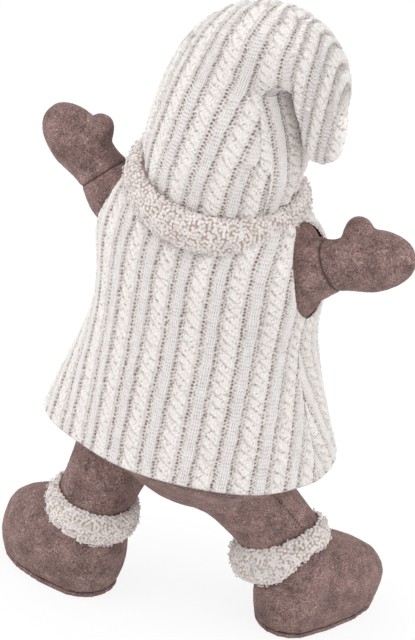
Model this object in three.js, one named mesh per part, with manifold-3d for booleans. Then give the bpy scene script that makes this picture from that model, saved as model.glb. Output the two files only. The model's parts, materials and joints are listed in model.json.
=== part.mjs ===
// A stuffed Santa doll that stands on weighted boots: felt body, knitted vest and a long folded hat.
// Millimetres, +Z up. The figure faces -Y, so its right hand is on -X. The floor is Z = 0.
import * as THREE from "three";
import { mergeVertices } from "three/addons/utils/BufferGeometryUtils.js";
import Module from "manifold-3d";

const wasm = await Module();
wasm.setup();

// Cloth and clearances
const GAP = 0.3; // between pieces that touch
const KNIT = 4; // thickness of the knitted cloth
const LEAN = 12; // how far the head stands to the figure's left of the hem

// Trousers and torso
const CROTCH_Z = 95;
const CROTCH_HALF_WIDTH = 30;
const CROTCH_HALF_DEPTH = 22;
const SEAT_BOTTOM_HALF_WIDTH = 74; // of the bowl at the height of the hips
const SEAT_BOTTOM_HALF_DEPTH = 56;
const SEAT_Z = 142;
const SEAT_HALF_WIDTH = 86;
const SEAT_HALF_DEPTH = 66;
const WAIST_Z = 190; // where the trousers end and the torso begins
const WAIST_HALF_WIDTH = 77;
const WAIST_HALF_DEPTH = 61;
const TORSO_CHEST_HALF_WIDTH = 70;
const TORSO_CHEST_HALF_DEPTH = 53;
const HEAD_Z = 378; // the neck, the face, the collar and the hat go with it
const NECK_Z = HEAD_Z - 32;

// Vest
const HEM_Z = 147;
const HEM_HALF_WIDTH = 110;
const HEM_HALF_DEPTH = 80;
const HEM_TILT = 4.5; // degrees, lower at the figure's left
const VEST_MIDDLE_Z = 239;
const VEST_MIDDLE_HALF_WIDTH = 81.5;
const VEST_MIDDLE_HALF_DEPTH = 67;
const CHEST_Z = 299;
const CHEST_HALF_WIDTH = 87;
const CHEST_HALF_DEPTH = 60;
const VEST_SHOULDER_Z = 332;
const VEST_SHOULDER_HALF_WIDTH = 77;
const VEST_SHOULDER_HALF_DEPTH = 51;
const VEST_FULLNESS = 0.88; // below 1 the vest is fuller than an ellipse, seen from above
const VEST_NECK_HALF_WIDTH = 51;
const VEST_NECK_HALF_DEPTH = 46;
const SIDE_SEAM_Y = 8; // the side seams lie a little behind the middle
const ARMHOLE_Z = 307;
const ARMHOLE_HALF_HEIGHT = 37;
const ARMHOLE_HALF_WIDTH = 28;

// Head and face
const HEAD_RADIUS = 50;
const FACE_RADIUS = 36; // of the opening in the collar round the face
const NOSE_Z = HEAD_Z - 18;
const NOSE_RADIUS = 9;
const NOSE_OUT = 3; // from the head's surface to the middle of the nose
const EYE_Z = HEAD_Z - 10;
const EYE_SPACING = 32;
const EYE_RADIUS = 3.4;
const BEARD_Z = HEAD_Z - 58;
const BEARD_HALF_WIDTH = 38;
const BEARD_HALF_HEIGHT = 40;
const BEARD_HALF_DEPTH = 22;
const MOUSTACHE_Z = HEAD_Z - 26;
const MOUSTACHE_LENGTH = 28; // of one of its two ends
const MOUSTACHE_RADIUS = 8.5;
const MOUSTACHE_SLANT = 18; // degrees below level
const MOUSTACHE_OVERLAP = 3; // of each end past the middle

// Collar roll
const COLLAR_Z = HEAD_Z - 41;
const COLLAR_SIDE = 4; // towards the figure's left
const COLLAR_RADIUS = 54; // middle of the roll
const COLLAR_HALF_THICKNESS = 11;
const COLLAR_HALF_HEIGHT = 20;
const COLLAR_TILT = 11; // degrees, lower at the back

// Hat: a cone that folds over a crease towards the figure's right
const BRIM_Z = HEAD_Z - 19;
const BRIM_RADIUS = 58.5;
const BRIM_TILT = 17; // degrees, lower at the back
const CREASE_Z = HEAD_Z + 52;
const CREASE_SIDE = 41; // from the hat's middle to the crease
const CREASE_ROOM = 2.5; // from the crease to the cloth on either side of it
const HAT_AT_CREASE = 87; // width of the standing cone level with the crease
const FOLD_HEIGHT = 53; // of the fold above the crease
const DROOP_WIDTH = 38; // of the hanging end at the crease
const TIP_WIDTH = 22; // of its blunt end
const DROOP_LENGTH = 41;
const TIP_CUT = 45; // degrees above level, where the hanging end begins

// Arms
const SHOULDER_X = { left: 67, right: 59 }; // the raised arm pulls out of its side
const SHOULDER_Z = 299;
const ARM_RADIUS = 20;
const SLEEVE_LENGTH = 36; // from the shoulder's middle to the wrist seam
const WRIST_RADIUS = 17.5;
const MITTEN_LENGTH = 60;
const MITTEN_WIDEST = 27; // from the wrist seam
const MITTEN_HALF_WIDTH = 23;
const MITTEN_HALF_DEPTH = 17;
const THUMB_LENGTH = 14;
const THUMB_RADIUS = 10.5;
const THUMB_SLANT = 30; // degrees from square to the arm
const THUMB_FROM_WRIST = 20;
const ARM_RISE = { left: 33, right: 24 }; // degrees above level, as the arms are held
const ARM_FORWARD = { left: 0, right: 11 };
const ARM_LOWEST = -12; // degrees above level that an arm can be lowered to
const ARM_HIGHEST = 43.5; // and raised to

// Legs
const HIP_Z = 126;
const HIP_RADIUS = 35.5;
const THIGH_RADIUS = 34;
const HIP_X = { left: 50, right: -31 };
const ANKLE_X = { left: 58, right: -86 };
const ANKLE_Y = { left: 22, right: -38 };
const ANKLE_RADIUS = 24;
const LEG_INSET = { left: 0, right: 12 }; // from the middle of the boot's top to the middle of the leg
const LEG_SWING = 20; // degrees that a leg can swing to the front and the back
const LEG_SWING_ROOM = 1.2; // between the swinging leg and the seat

// Boots
const TOE_OUT = { left: 90, right: 25 };
const SOLE_THICKNESS = 3;
const SOLE_INSET = 4; // from the widest line of the boot to its lower edge
const SOLE_LIP = 0.5; // of the sole past the boot's lower edge
const BOOT_TOP_Z = 71;
const BOOT_TOE = 89; // from the ankle's middle
const BOOT_INSTEP = 65; // from the ankle's middle, half way from the toe box to the top
const BOOT_HEEL = 31;
const BOOT_HALF_WIDTH = 33;
const TOE_BLUNTNESS = 0.8; // below 1 the toe is fuller than an ellipse
const TOE_BOX_Z = 36; // the boot closes in above this height
const CUFF_Z = 63;
const CUFF_TILT = { left: 8, right: 26 }; // the outer side up, square to the splayed leg
const CUFF_HALF_HEIGHT = 14;
const CUFF_RADIUS = 28.5; // middle of the cuff's roll
const CUFF_HALF_THICKNESS = 7.5;
const POUCH_TOE = 62;
const POUCH_HEEL = 22;
const POUCH_HALF_WIDTH = 20;
const POUCH_HEIGHT = 15;
const POUCH_ROUNDING = 5; // of its upper edge

// Bendable wire in the limbs
const WIRE_RADIUS = 1.6;
const WIRE_END = 18; // how far a wire stops short of the end of its limb
const WIRE_PAST = 4; // how far a wire's bore runs on into the sockets
const HIP_WIRE_Z = 172;

// Facets
const SIDES = 18; // round a limb, a garment or the head
const SMALL_SIDES = 10; // round a bead, a lobe or a rolled edge
const ROUND_STEP = 15; // degrees between the rings of a rounded end
const BODY_ROWS = 7; // rings up the torso and the seat
const VEST_ROWS = 9;
const HAT_ROWS = 5; // for each of the hat's three stretches
const BOOT_ROWS = 8;
const WIRE_SIDES = 10;
const HIP_WIRE_STEPS = 14;

const FELT = { color: 0x7e6461, roughness: 0.95 };
const DARK_FELT = { color: 0x5a4340, roughness: 0.95 };
const KNITWEAR = { color: 0xe4dedb, roughness: 0.9 };
const BOUCLE = { color: 0xdacfc8, roughness: 0.95 };
const SKIN = { color: 0xd9b59c, roughness: 0.9 };
const BEAD = { color: 0x15110f, roughness: 0.25 };
const STEEL = { color: 0x9a9a9c, roughness: 0.4, metalness: 0.9 };
const CANVAS = { color: 0xb9ad98, roughness: 0.95 };
const FILLING = { color: 0xf2f0ec, roughness: 1 };

const SIGN = { left: 1, right: -1 };
const { degToRad, lerp } = THREE.MathUtils;
const point = (x, y, z) => new THREE.Vector3(x, y, z);
const figure = new THREE.Group();

// Joining and cutting
function solid(geometry) {
  const bare = new THREE.BufferGeometry();
  bare.setAttribute("position", geometry.getAttribute("position"));
  bare.setIndex(geometry.getIndex());
  const merged = mergeVertices(bare, 1e-4);
  const mesh = { numProp: 3, vertProperties: merged.attributes.position.array, triVerts: merged.index.array };
  return new wasm.Manifold(new wasm.Mesh(mesh));
}

function geometryOf(body) {
  const mesh = body.getMesh();
  const geometry = new THREE.BufferGeometry();
  geometry.setAttribute("position", new THREE.BufferAttribute(mesh.vertProperties, 3));
  return geometry.setIndex(new THREE.BufferAttribute(mesh.triVerts, 1));
}

const cut = (geometry, ...tools) =>
  geometryOf(tools.reduce((body, tool) => body.subtract(solid(tool)), solid(geometry)));
const join = (geometry, ...others) =>
  geometryOf(others.reduce((body, other) => body.add(solid(other)), solid(geometry)));
const common = (geometry, other) => geometryOf(solid(geometry).intersect(solid(other)));

function add(name, geometry, look, parent = figure) {
  const mesh = new THREE.Mesh(geometry, new THREE.MeshStandardMaterial(look));
  mesh.name = name;
  parent.add(mesh);
}

// A closed solid through rings of equal length, each counter-clockwise seen from the next one.
function loft(rings) {
  const count = rings[0].length;
  const points = rings.flat();
  const faces = [];
  for (let row = 0; row + 1 < rings.length; row++) {
    for (let i = 0; i < count; i++) {
      const a = row * count + i;
      const b = row * count + ((i + 1) % count);
      faces.push(a, b, b + count, a, b + count, a + count);
    }
  }
  const last = points.length - count;
  const middle = (ring) => ring.reduce((sum, p) => sum.add(p), point(0, 0, 0)).divideScalar(count);
  points.push(middle(rings[0]), middle(rings.at(-1)));
  for (let i = 0; i < count; i++) {
    const next = (i + 1) % count;
    faces.push(last + count, next, i, last + count + 1, last + i, last + next);
  }
  return new THREE.BufferGeometry().setFromPoints(points).setIndex(faces);
}

// A ring about a centre that reaches along u and v; the loft travels along u x v.
function ring(centre, u, v) {
  return Array.from({ length: SIDES }, (_, i) => {
    const angle = (2 * Math.PI * i) / SIDES;
    return centre.clone().addScaledVector(u, Math.cos(angle)).addScaledVector(v, Math.sin(angle));
  });
}

const levelRing = (x, y, z, halfWidth, halfDepth) =>
  ring(point(x, y, z), point(halfWidth, 0, 0), point(0, halfDepth, 0));

// Rows of numbers on a smooth curve through the given stations.
function through(stations, rows) {
  const places = stations.map((_, i) => i);
  const curve = new THREE.CubicInterpolant(places, stations.flat(), stations[0].length);
  const last = stations.length - 1;
  return Array.from({ length: rows + 1 }, (_, i) => Array.from(curve.evaluate((last * i) / rows)));
}

function ball(centre, radius, sides = SIDES) {
  const sphere = new THREE.SphereGeometry(radius, sides, sides / 2).rotateX(Math.PI / 2);
  return sphere.translate(centre.x, centre.y, centre.z);
}

// A round bar along a path.
function rod(path, radius, steps = 1) {
  const section = new THREE.Shape().absarc(0, 0, radius, 0, 2 * Math.PI);
  return new THREE.ExtrudeGeometry(section, { extrudePath: path, steps, curveSegments: WIRE_SIDES / 2 });
}

const bar = (from, to, radius) => rod(new THREE.LineCurve3(from, to), radius);

// A soft roll: an ellipse turned about Z.
function roll(radius, halfThickness, halfHeight) {
  const section = new THREE.EllipseCurve(radius, 0, halfThickness, halfHeight);
  const lathe = new THREE.LatheGeometry(section.getPoints(SMALL_SIDES), SIDES);
  return lathe.rotateX(Math.PI / 2);
}

// The middle of the leaning body at a height.
const leanAt = (z) => (LEAN * (z - HEM_Z)) / (BRIM_Z - HEM_Z);
const bodyRing = (z, halfWidth, halfDepth) => levelRing(leanAt(z), 0, z, halfWidth, halfDepth);
const bodyLoft = (stations) => loft(through(stations, BODY_ROWS).map(([z, a, b]) => bodyRing(z, a, b)));
const headCentre = point(leanAt(HEAD_Z), 0, HEAD_Z);
const head = (grow) => ball(headCentre, HEAD_RADIUS + grow);

// Vest: one flared form, which is hollowed, cut at the armholes and parted at the side seams
const vestStations = [
  [HEM_Z, HEM_HALF_WIDTH, HEM_HALF_DEPTH],
  [VEST_MIDDLE_Z, VEST_MIDDLE_HALF_WIDTH, VEST_MIDDLE_HALF_DEPTH],
  [CHEST_Z, CHEST_HALF_WIDTH, CHEST_HALF_DEPTH],
  [VEST_SHOULDER_Z, VEST_SHOULDER_HALF_WIDTH, VEST_SHOULDER_HALF_DEPTH],
  [NECK_Z, VEST_NECK_HALF_WIDTH, VEST_NECK_HALF_DEPTH],
];

// A ring of the vest, which is full at the corners and tilts more the nearer it is to the hem.
function vestRing(z, halfWidth, halfDepth) {
  const fuller = (share) => Math.sign(share) * Math.abs(share) ** VEST_FULLNESS;
  const slope = (Math.tan(degToRad(HEM_TILT)) * (NECK_Z - z)) / (NECK_Z - HEM_Z);
  return levelRing(0, 0, 0, 1, 1).map((p) => {
    const x = halfWidth * fuller(p.x);
    return p.set(leanAt(z) + x, halfDepth * fuller(p.y), z - slope * x);
  });
}

// The vest's form, grown or shrunk, and run on past the hem and the neck.
function vestForm(grow, past) {
  const rows = through(vestStations, VEST_ROWS).map(([z, a, b]) => [z, a + grow, b + grow]);
  const [low, high] = [rows[0], rows.at(-1)];
  const run = [[low[0] - past, low[1], low[2]], ...rows, [high[0] + past, high[1], high[2]]];
  return loft(run.map(([z, a, b]) => vestRing(z, a, b)));
}

function vest() {
  const rows = through(vestStations, VEST_ROWS);
  const outside = loft(rows.map(([z, a, b]) => vestRing(z, a, b)));
  const armhole = new THREE.CylinderGeometry(1, 1, 2 * HEM_HALF_WIDTH + 2 * LEAN, SIDES);
  armhole.rotateZ(Math.PI / 2).scale(1, ARMHOLE_HALF_WIDTH, ARMHOLE_HALF_HEIGHT);
  armhole.translate(leanAt(ARMHOLE_Z), 0, ARMHOLE_Z);
  const shell = cut(outside, vestForm(-KNIT, KNIT), armhole, hatForm(0, 1, GAP, GAP, 0));
  const reach = 4 * HEM_HALF_WIDTH;
  const behind = new THREE.BoxGeometry(reach, reach, reach).translate(0, reach / 2 + SIDE_SEAM_Y, NECK_Z / 2);
  add("vest_back", common(shell, behind.clone().translate(0, GAP / 2, 0)), KNITWEAR);
  add("vest_front", cut(shell, behind.translate(0, -GAP / 2, 0)), KNITWEAR);
}

// Hat sections: place 0 to 1 stands on the head, 1 to 2 turns round the crease, 2 to 3 hangs down.
const tipPlace = 2 - TIP_CUT / 180;
const hatX = leanAt(BRIM_Z);
const crease = point(hatX - CREASE_SIDE, 0, CREASE_Z);
const standingEdge = (z) =>
  lerp(hatX - BRIM_RADIUS, crease.x + CREASE_ROOM, ((z - BRIM_Z) / (CREASE_Z - BRIM_Z)) ** 2);

function hatSection(place) {
  const back = point(0, 1, 0);
  if (place < 1) {
    const z = lerp(BRIM_Z, CREASE_Z, place);
    const width = lerp(2 * BRIM_RADIUS, HAT_AT_CREASE, place * place);
    const tilt = degToRad(BRIM_TILT) * (1 - place);
    back.set(0, Math.cos(tilt), -Math.sin(tilt));
    return { centre: point(standingEdge(z) + width / 2, 0, z), out: point(1, 0, 0), back, width };
  }
  if (place <= 2) {
    const turn = place - 1;
    const out = point(Math.cos(Math.PI * turn), 0, Math.sin(Math.PI * turn));
    const bend = new THREE.QuadraticBezierCurve(
      new THREE.Vector2(0, HAT_AT_CREASE),
      new THREE.Vector2(0, 2 * FOLD_HEIGHT - (HAT_AT_CREASE + DROOP_WIDTH) / 2),
      new THREE.Vector2(0, DROOP_WIDTH),
    );
    const width = bend.getPoint(turn).y;
    return { centre: crease.clone().addScaledVector(out, CREASE_ROOM + width / 2), out, back, width };
  }
  const z = CREASE_Z - DROOP_LENGTH * (place - 2);
  const width = lerp(DROOP_WIDTH, TIP_WIDTH, place - 2);
  const edge = standingEdge(z) - 2 * CREASE_ROOM;
  return { centre: point(edge - width / 2, 0, z), out: point(-1, 0, 0), back, width };
}

// The hat between two places, grown or shrunk, and run on past its ends.
function hatForm(from, to, grow, before, after) {
  const rows = Math.ceil(HAT_ROWS * (to - from));
  const rings = [];
  for (let row = 0; row <= rows; row++) {
    const { centre, out, back, width } = hatSection(lerp(from, to, row / rows));
    const travel = out.clone().cross(back);
    const shift = (row === 0 ? -before : 0) + (row === rows ? after : 0);
    const radius = width / 2 + grow;
    const place = centre.clone().addScaledVector(travel, shift);
    rings.push(ring(place, out.multiplyScalar(radius), back.multiplyScalar(radius)));
  }
  return loft(rings);
}

function hat() {
  add("hat", cut(hatForm(0, tipPlace, 0, 0, 0), hatForm(0, tipPlace, -KNIT, KNIT, KNIT)), KNITWEAR);
  const tip = hatForm(tipPlace, 3, 0, -GAP, 0);
  add("hat_tip", cut(tip, hatForm(tipPlace, 3, -KNIT, KNIT, -KNIT)), KNITWEAR);
  const below = new THREE.BoxGeometry(4 * BRIM_RADIUS, 4 * BRIM_RADIUS, HEAD_Z).translate(hatX, 0, HEAD_Z / 2);
  add("hat_stuffing", cut(hatForm(0, tipPlace, -KNIT - GAP, 0, 0), head(GAP), below), FILLING);
}

// Head, face and beard
const onFace = (x, z, sink) => {
  const across = Math.hypot(x, z - HEAD_Z);
  return point(headCentre.x + x, -Math.sqrt(HEAD_RADIUS ** 2 - across ** 2) + sink, z);
};
const nose = (grow) => ball(onFace(0, NOSE_Z, -NOSE_OUT), NOSE_RADIUS + grow, SMALL_SIDES);
const eye = (side, grow) =>
  ball(onFace((SIGN[side] * EYE_SPACING) / 2, EYE_Z, 0), EYE_RADIUS + grow, SMALL_SIDES);

function beardForm(grow) {
  const drop = ball(point(0, 0, 0), 1);
  drop.scale(BEARD_HALF_WIDTH + grow, BEARD_HALF_DEPTH + grow, BEARD_HALF_HEIGHT + grow);
  return drop.translate(leanAt(BEARD_Z), -HEAD_RADIUS, BEARD_Z);
}

function moustacheForm(grow) {
  const end = (side) => {
    const lobe = ball(point(0, 0, 0), 1, SMALL_SIDES);
    lobe.scale(MOUSTACHE_LENGTH / 2 + grow, MOUSTACHE_RADIUS + grow, MOUSTACHE_RADIUS + grow);
    lobe.translate(MOUSTACHE_LENGTH / 2 - MOUSTACHE_OVERLAP, 0, 0);
    lobe.rotateY(degToRad(MOUSTACHE_SLANT)).scale(SIGN[side], 1, 1);
    return side === "left" ? lobe : flipped(lobe);
  };
  const place = onFace(0, MOUSTACHE_Z, -MOUSTACHE_RADIUS);
  return join(end("left"), end("right")).translate(place.x, place.y, place.z);
}

// Turns every face round, for a mirrored shape.
function flipped(geometry) {
  const index = geometry.getIndex().array;
  for (let i = 0; i < index.length; i += 3) [index[i], index[i + 1]] = [index[i + 1], index[i]];
  return geometry;
}

function face() {
  add("head", cut(head(0), nose(GAP), eye("left", GAP), eye("right", GAP)), SKIN);
  add("nose", nose(0), SKIN);
  for (const side of ["left", "right"]) add(side + "_eye", eye(side, 0), BEAD);
  const hatRoom = hatForm(0, 1, GAP, GAP, 0);
  const moustacheRooms = [head(GAP), nose(GAP), hatRoom, vestForm(GAP, 0)];
  add("moustache", cut(moustacheForm(0), ...moustacheRooms), BOUCLE);
  add("beard", cut(beardForm(0), head(GAP), nose(GAP), moustacheForm(GAP), vestForm(GAP, 0)), BOUCLE);
}

// The collar runs round the neck and opens at the front, where the face and the beard are.
function collar() {
  const band = roll(COLLAR_RADIUS, COLLAR_HALF_THICKNESS, COLLAR_HALF_HEIGHT);
  band.rotateX(degToRad(-COLLAR_TILT)).translate(leanAt(COLLAR_Z) + COLLAR_SIDE, 0, COLLAR_Z);
  const face = new THREE.CylinderGeometry(FACE_RADIUS, FACE_RADIUS, 2 * HEAD_RADIUS, SIDES);
  face.translate(headCentre.x, -HEAD_RADIUS, (EYE_Z + NOSE_Z) / 2);
  const rooms = [vestForm(GAP, 0), hatForm(0, 1, GAP, GAP, 0), head(GAP), beardForm(GAP), face];
  add("collar", cut(band, ...rooms), BOUCLE);
}

// Limbs: where each one turns and points
const shoulder = (side) => point(leanAt(SHOULDER_Z) + SIGN[side] * SHOULDER_X[side], 0, SHOULDER_Z);
const hip = (side) => point(HIP_X[side], 0, HIP_Z);
const ankle = (side) => point(ANKLE_X[side] - SIGN[side] * LEG_INSET[side], ANKLE_Y[side], BOOT_TOP_Z);
const legWay = (side) => ankle(side).sub(hip(side)).normalize();

function armWay(side) {
  const rise = degToRad(ARM_RISE[side]);
  const forward = degToRad(ARM_FORWARD[side]);
  const level = Math.cos(rise);
  return point(SIGN[side] * level * Math.cos(forward), -level * Math.sin(forward), Math.sin(rise));
}

// A ball room that clears a faceted ball of a radius, however that ball is turned.
const ballRoom = (centre, radius) => ball(centre, (radius + GAP) / Math.cos(Math.PI / SIDES) ** 2);

// The slot in the torso's side where an arm swings: a fan between its lowest and highest place.
function armSlot(side) {
  const [low, high] = [degToRad(ARM_LOWEST), degToRad(ARM_HIGHEST)];
  const half = ARM_RADIUS + 2 * GAP;
  const reach = SLEEVE_LENGTH + ARM_RADIUS;
  const along = (angle, far, off) =>
    new THREE.Vector2(far * Math.cos(angle) - off * Math.sin(angle), far * Math.sin(angle) + off * Math.cos(angle));
  const fan = [along(low, 0, -half), along(low, reach, -half), along(high, reach, half), along(high, 0, half)];
  const forward = ARM_RADIUS * Math.tan(degToRad(ARM_FORWARD[side]));
  const slot = new THREE.ExtrudeGeometry(new THREE.Shape(fan), { depth: 2 * half + forward, bevelEnabled: false });
  slot.rotateX(Math.PI / 2).translate(0, half, 0);
  if (side === "right") slot.rotateZ(Math.PI).translate(0, -forward, 0);
  const pivot = shoulder(side);
  return slot.translate(pivot.x, pivot.y, pivot.z);
}

// Wires across the body, from one limb's socket to the other's
const socket = (pivot, way, radius) => pivot.clone().addScaledVector(way, -radius);

function shoulderWire(radius, past) {
  const ends = ["left", "right"].map((side) => socket(shoulder(side), armWay(side), ARM_RADIUS + WIRE_RADIUS));
  const along = ends[1].clone().sub(ends[0]).normalize().multiplyScalar(past);
  return bar(ends[0].sub(along), ends[1].add(along), radius);
}

const hipWireAt = (side, reach) => socket(hip(side), legWay(side), HIP_RADIUS + WIRE_RADIUS + reach);

function hipWire(radius) {
  const rise = (HIP_WIRE_Z - HIP_Z - HIP_RADIUS) / 2;
  const top = point((HIP_X.left + HIP_X.right) / 2, 0, HIP_WIRE_Z);
  const stops = [hipWireAt("left", 0), hipWireAt("left", rise), top, hipWireAt("right", rise), hipWireAt("right", 0)];
  return rod(new THREE.CatmullRomCurve3(stops), radius, HIP_WIRE_STEPS);
}

function hipWireRoom() {
  const radius = WIRE_RADIUS + GAP;
  const mouths = ["left", "right"].map((side) =>
    bar(hipWireAt(side, WIRE_RADIUS), hipWireAt(side, -WIRE_PAST), radius),
  );
  return join(hipWire(radius), ...mouths);
}

function body() {
  const torsoStations = [
    [WAIST_Z + GAP / 2, WAIST_HALF_WIDTH, WAIST_HALF_DEPTH],
    [CHEST_Z, TORSO_CHEST_HALF_WIDTH, TORSO_CHEST_HALF_DEPTH],
    [NECK_Z, VEST_NECK_HALF_WIDTH, VEST_NECK_HALF_DEPTH],
  ];
  const inVest = common(bodyLoft(torsoStations), vestForm(-KNIT - GAP, 0));
  const armRooms = ["left", "right"].flatMap((side) => [
    armSlot(side),
    ballRoom(shoulder(side), ARM_RADIUS),
  ]);
  const wireRoom = shoulderWire(WIRE_RADIUS + GAP, WIRE_PAST);
  add("torso", cut(inVest, head(GAP), wireRoom, ...armRooms), DARK_FELT);
  add("shoulder_wire", shoulderWire(WIRE_RADIUS, 0), STEEL);

  const seatStations = [
    [CROTCH_Z, CROTCH_HALF_WIDTH, CROTCH_HALF_DEPTH],
    [HIP_Z, SEAT_BOTTOM_HALF_WIDTH, SEAT_BOTTOM_HALF_DEPTH],
    [SEAT_Z, SEAT_HALF_WIDTH, SEAT_HALF_DEPTH],
    [WAIST_Z - GAP / 2, WAIST_HALF_WIDTH, WAIST_HALF_DEPTH],
  ];
  const legRooms = ["left", "right"].flatMap((side) => [
    ballRoom(hip(side), HIP_RADIUS),
    ...legSwept(side),
  ]);
  add("trouser_seat", cut(bodyLoft(seatStations), hipWireRoom(), ...legRooms), FELT);
  add("hip_wire", hipWire(WIRE_RADIUS), STEEL);
}

// An arm lies along its own +Z, with the thumb towards +X.
function arm(side) {
  const way = armWay(side);
  const thumbWay = point(0, 0, 1).addScaledVector(way, -way.z).normalize();
  const group = new THREE.Group();
  group.setRotationFromMatrix(new THREE.Matrix4().makeBasis(thumbWay, way.clone().cross(thumbWay), way));
  group.position.copy(shoulder(side));
  figure.add(group);

  const wrist = SLEEVE_LENGTH - GAP / 2;
  const rings = [];
  for (let turn = ROUND_STEP; turn <= 90; turn += ROUND_STEP) {
    const reach = ARM_RADIUS * Math.sin(degToRad(turn));
    rings.push(levelRing(0, 0, -ARM_RADIUS * Math.cos(degToRad(turn)), reach, reach));
  }
  rings.push(levelRing(0, 0, wrist / 2, ARM_RADIUS, ARM_RADIUS));
  rings.push(levelRing(0, 0, wrist, WRIST_RADIUS, WRIST_RADIUS));
  const wireEnd = SLEEVE_LENGTH + MITTEN_LENGTH - WIRE_END;
  const wireRoom = bar(point(0, 0, -2 * ARM_RADIUS), point(0, 0, wireEnd + GAP), WIRE_RADIUS + GAP);
  add(side + "_arm", cut(loft(rings), wireRoom), FELT, group);

  const palm = [levelRing(0, 0, SLEEVE_LENGTH + GAP / 2, WRIST_RADIUS, WRIST_RADIUS)];
  for (let turn = 0; turn < 90; turn += ROUND_STEP) {
    const far = SLEEVE_LENGTH + lerp(MITTEN_WIDEST, MITTEN_LENGTH, Math.sin(degToRad(turn)));
    const taper = Math.cos(degToRad(turn));
    palm.push(levelRing(0, 0, far, MITTEN_HALF_WIDTH * taper, MITTEN_HALF_DEPTH * taper));
  }
  const thumb = new THREE.CapsuleGeometry(THUMB_RADIUS, THUMB_LENGTH, SMALL_SIDES / 2, SMALL_SIDES);
  thumb.rotateZ(-Math.PI / 2).rotateY(degToRad(-THUMB_SLANT));
  thumb.translate(MITTEN_HALF_WIDTH - THUMB_RADIUS / 2, 0, SLEEVE_LENGTH + THUMB_FROM_WRIST);
  add(side + "_mitten", cut(join(loft(palm), thumb), wireRoom), FELT, group);
  add(side + "_arm_wire", bar(point(0, 0, -ARM_RADIUS), point(0, 0, wireEnd), WIRE_RADIUS), STEEL, group);
}

// An egg-shaped level ring about the ankle, with a blunt toe towards +X.
function footRing(z, toe, heel, halfWidth) {
  return levelRing(0, 0, z, 1, halfWidth).map((p) => {
    return p.setX(p.x > 0 ? toe * p.x ** TOE_BLUNTNESS : heel * p.x);
  });
}

const footLoft = (stations) => loft(stations.map((s) => footRing(...s)));

function pouchForm(grow, past) {
  const base = SOLE_THICKNESS + GAP;
  const [toe, heel, half] = [POUCH_TOE + grow, POUCH_HEEL + grow, POUCH_HALF_WIDTH + grow];
  return footLoft([
    [base - past, toe, heel, half],
    [base + POUCH_HEIGHT - POUCH_ROUNDING, toe, heel, half],
    [base + POUCH_HEIGHT + grow, toe - POUCH_ROUNDING, heel - POUCH_ROUNDING, half - POUCH_ROUNDING],
  ]);
}

function bootForm(grow) {
  const stations = [
    [SOLE_THICKNESS + GAP - grow, BOOT_TOE - SOLE_INSET, BOOT_HEEL - SOLE_INSET, BOOT_HALF_WIDTH - SOLE_INSET],
    [TOE_BOX_Z / 2, BOOT_TOE, BOOT_HEEL, BOOT_HALF_WIDTH],
    [TOE_BOX_Z, BOOT_TOE - SOLE_INSET, BOOT_HEEL, BOOT_HALF_WIDTH],
    [(TOE_BOX_Z + BOOT_TOP_Z) / 2, BOOT_INSTEP, BOOT_HEEL - SOLE_INSET, BOOT_HALF_WIDTH - SOLE_INSET],
    [BOOT_TOP_Z + grow, ANKLE_RADIUS, ANKLE_RADIUS, ANKLE_RADIUS],
  ];
  const rows = through(stations, BOOT_ROWS);
  return footLoft(rows.map(([z, toe, heel, half]) => [z, toe + grow, heel + grow, half + grow]));
}

// A leg: a ball at the hip and a tapered tube that runs on into the boot.
function legTube(side, grow) {
  const end = ankle(side).addScaledVector(legWay(side), ANKLE_RADIUS);
  const length = end.distanceTo(hip(side));
  const tube = new THREE.CylinderGeometry(THIGH_RADIUS + grow, ANKLE_RADIUS + grow, length, SIDES);
  const middle = hip(side).add(end).divideScalar(2);
  const turn = new THREE.Quaternion().setFromUnitVectors(point(0, -1, 0), legWay(side));
  return tube.applyQuaternion(turn).translate(middle.x, middle.y, middle.z);
}

const legForm = (side, grow) => join(legTube(side, grow), ball(hip(side), HIP_RADIUS + grow));

// The tube where it stands, and swung to the front and the back.
function legSwept(side) {
  const pivot = hip(side);
  return [-LEG_SWING, 0, LEG_SWING].map((angle) => {
    const tube = legTube(side, LEG_SWING_ROOM).translate(-pivot.x, -pivot.y, -pivot.z);
    return tube.rotateX(degToRad(angle)).translate(pivot.x, pivot.y, pivot.z);
  });
}

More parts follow.
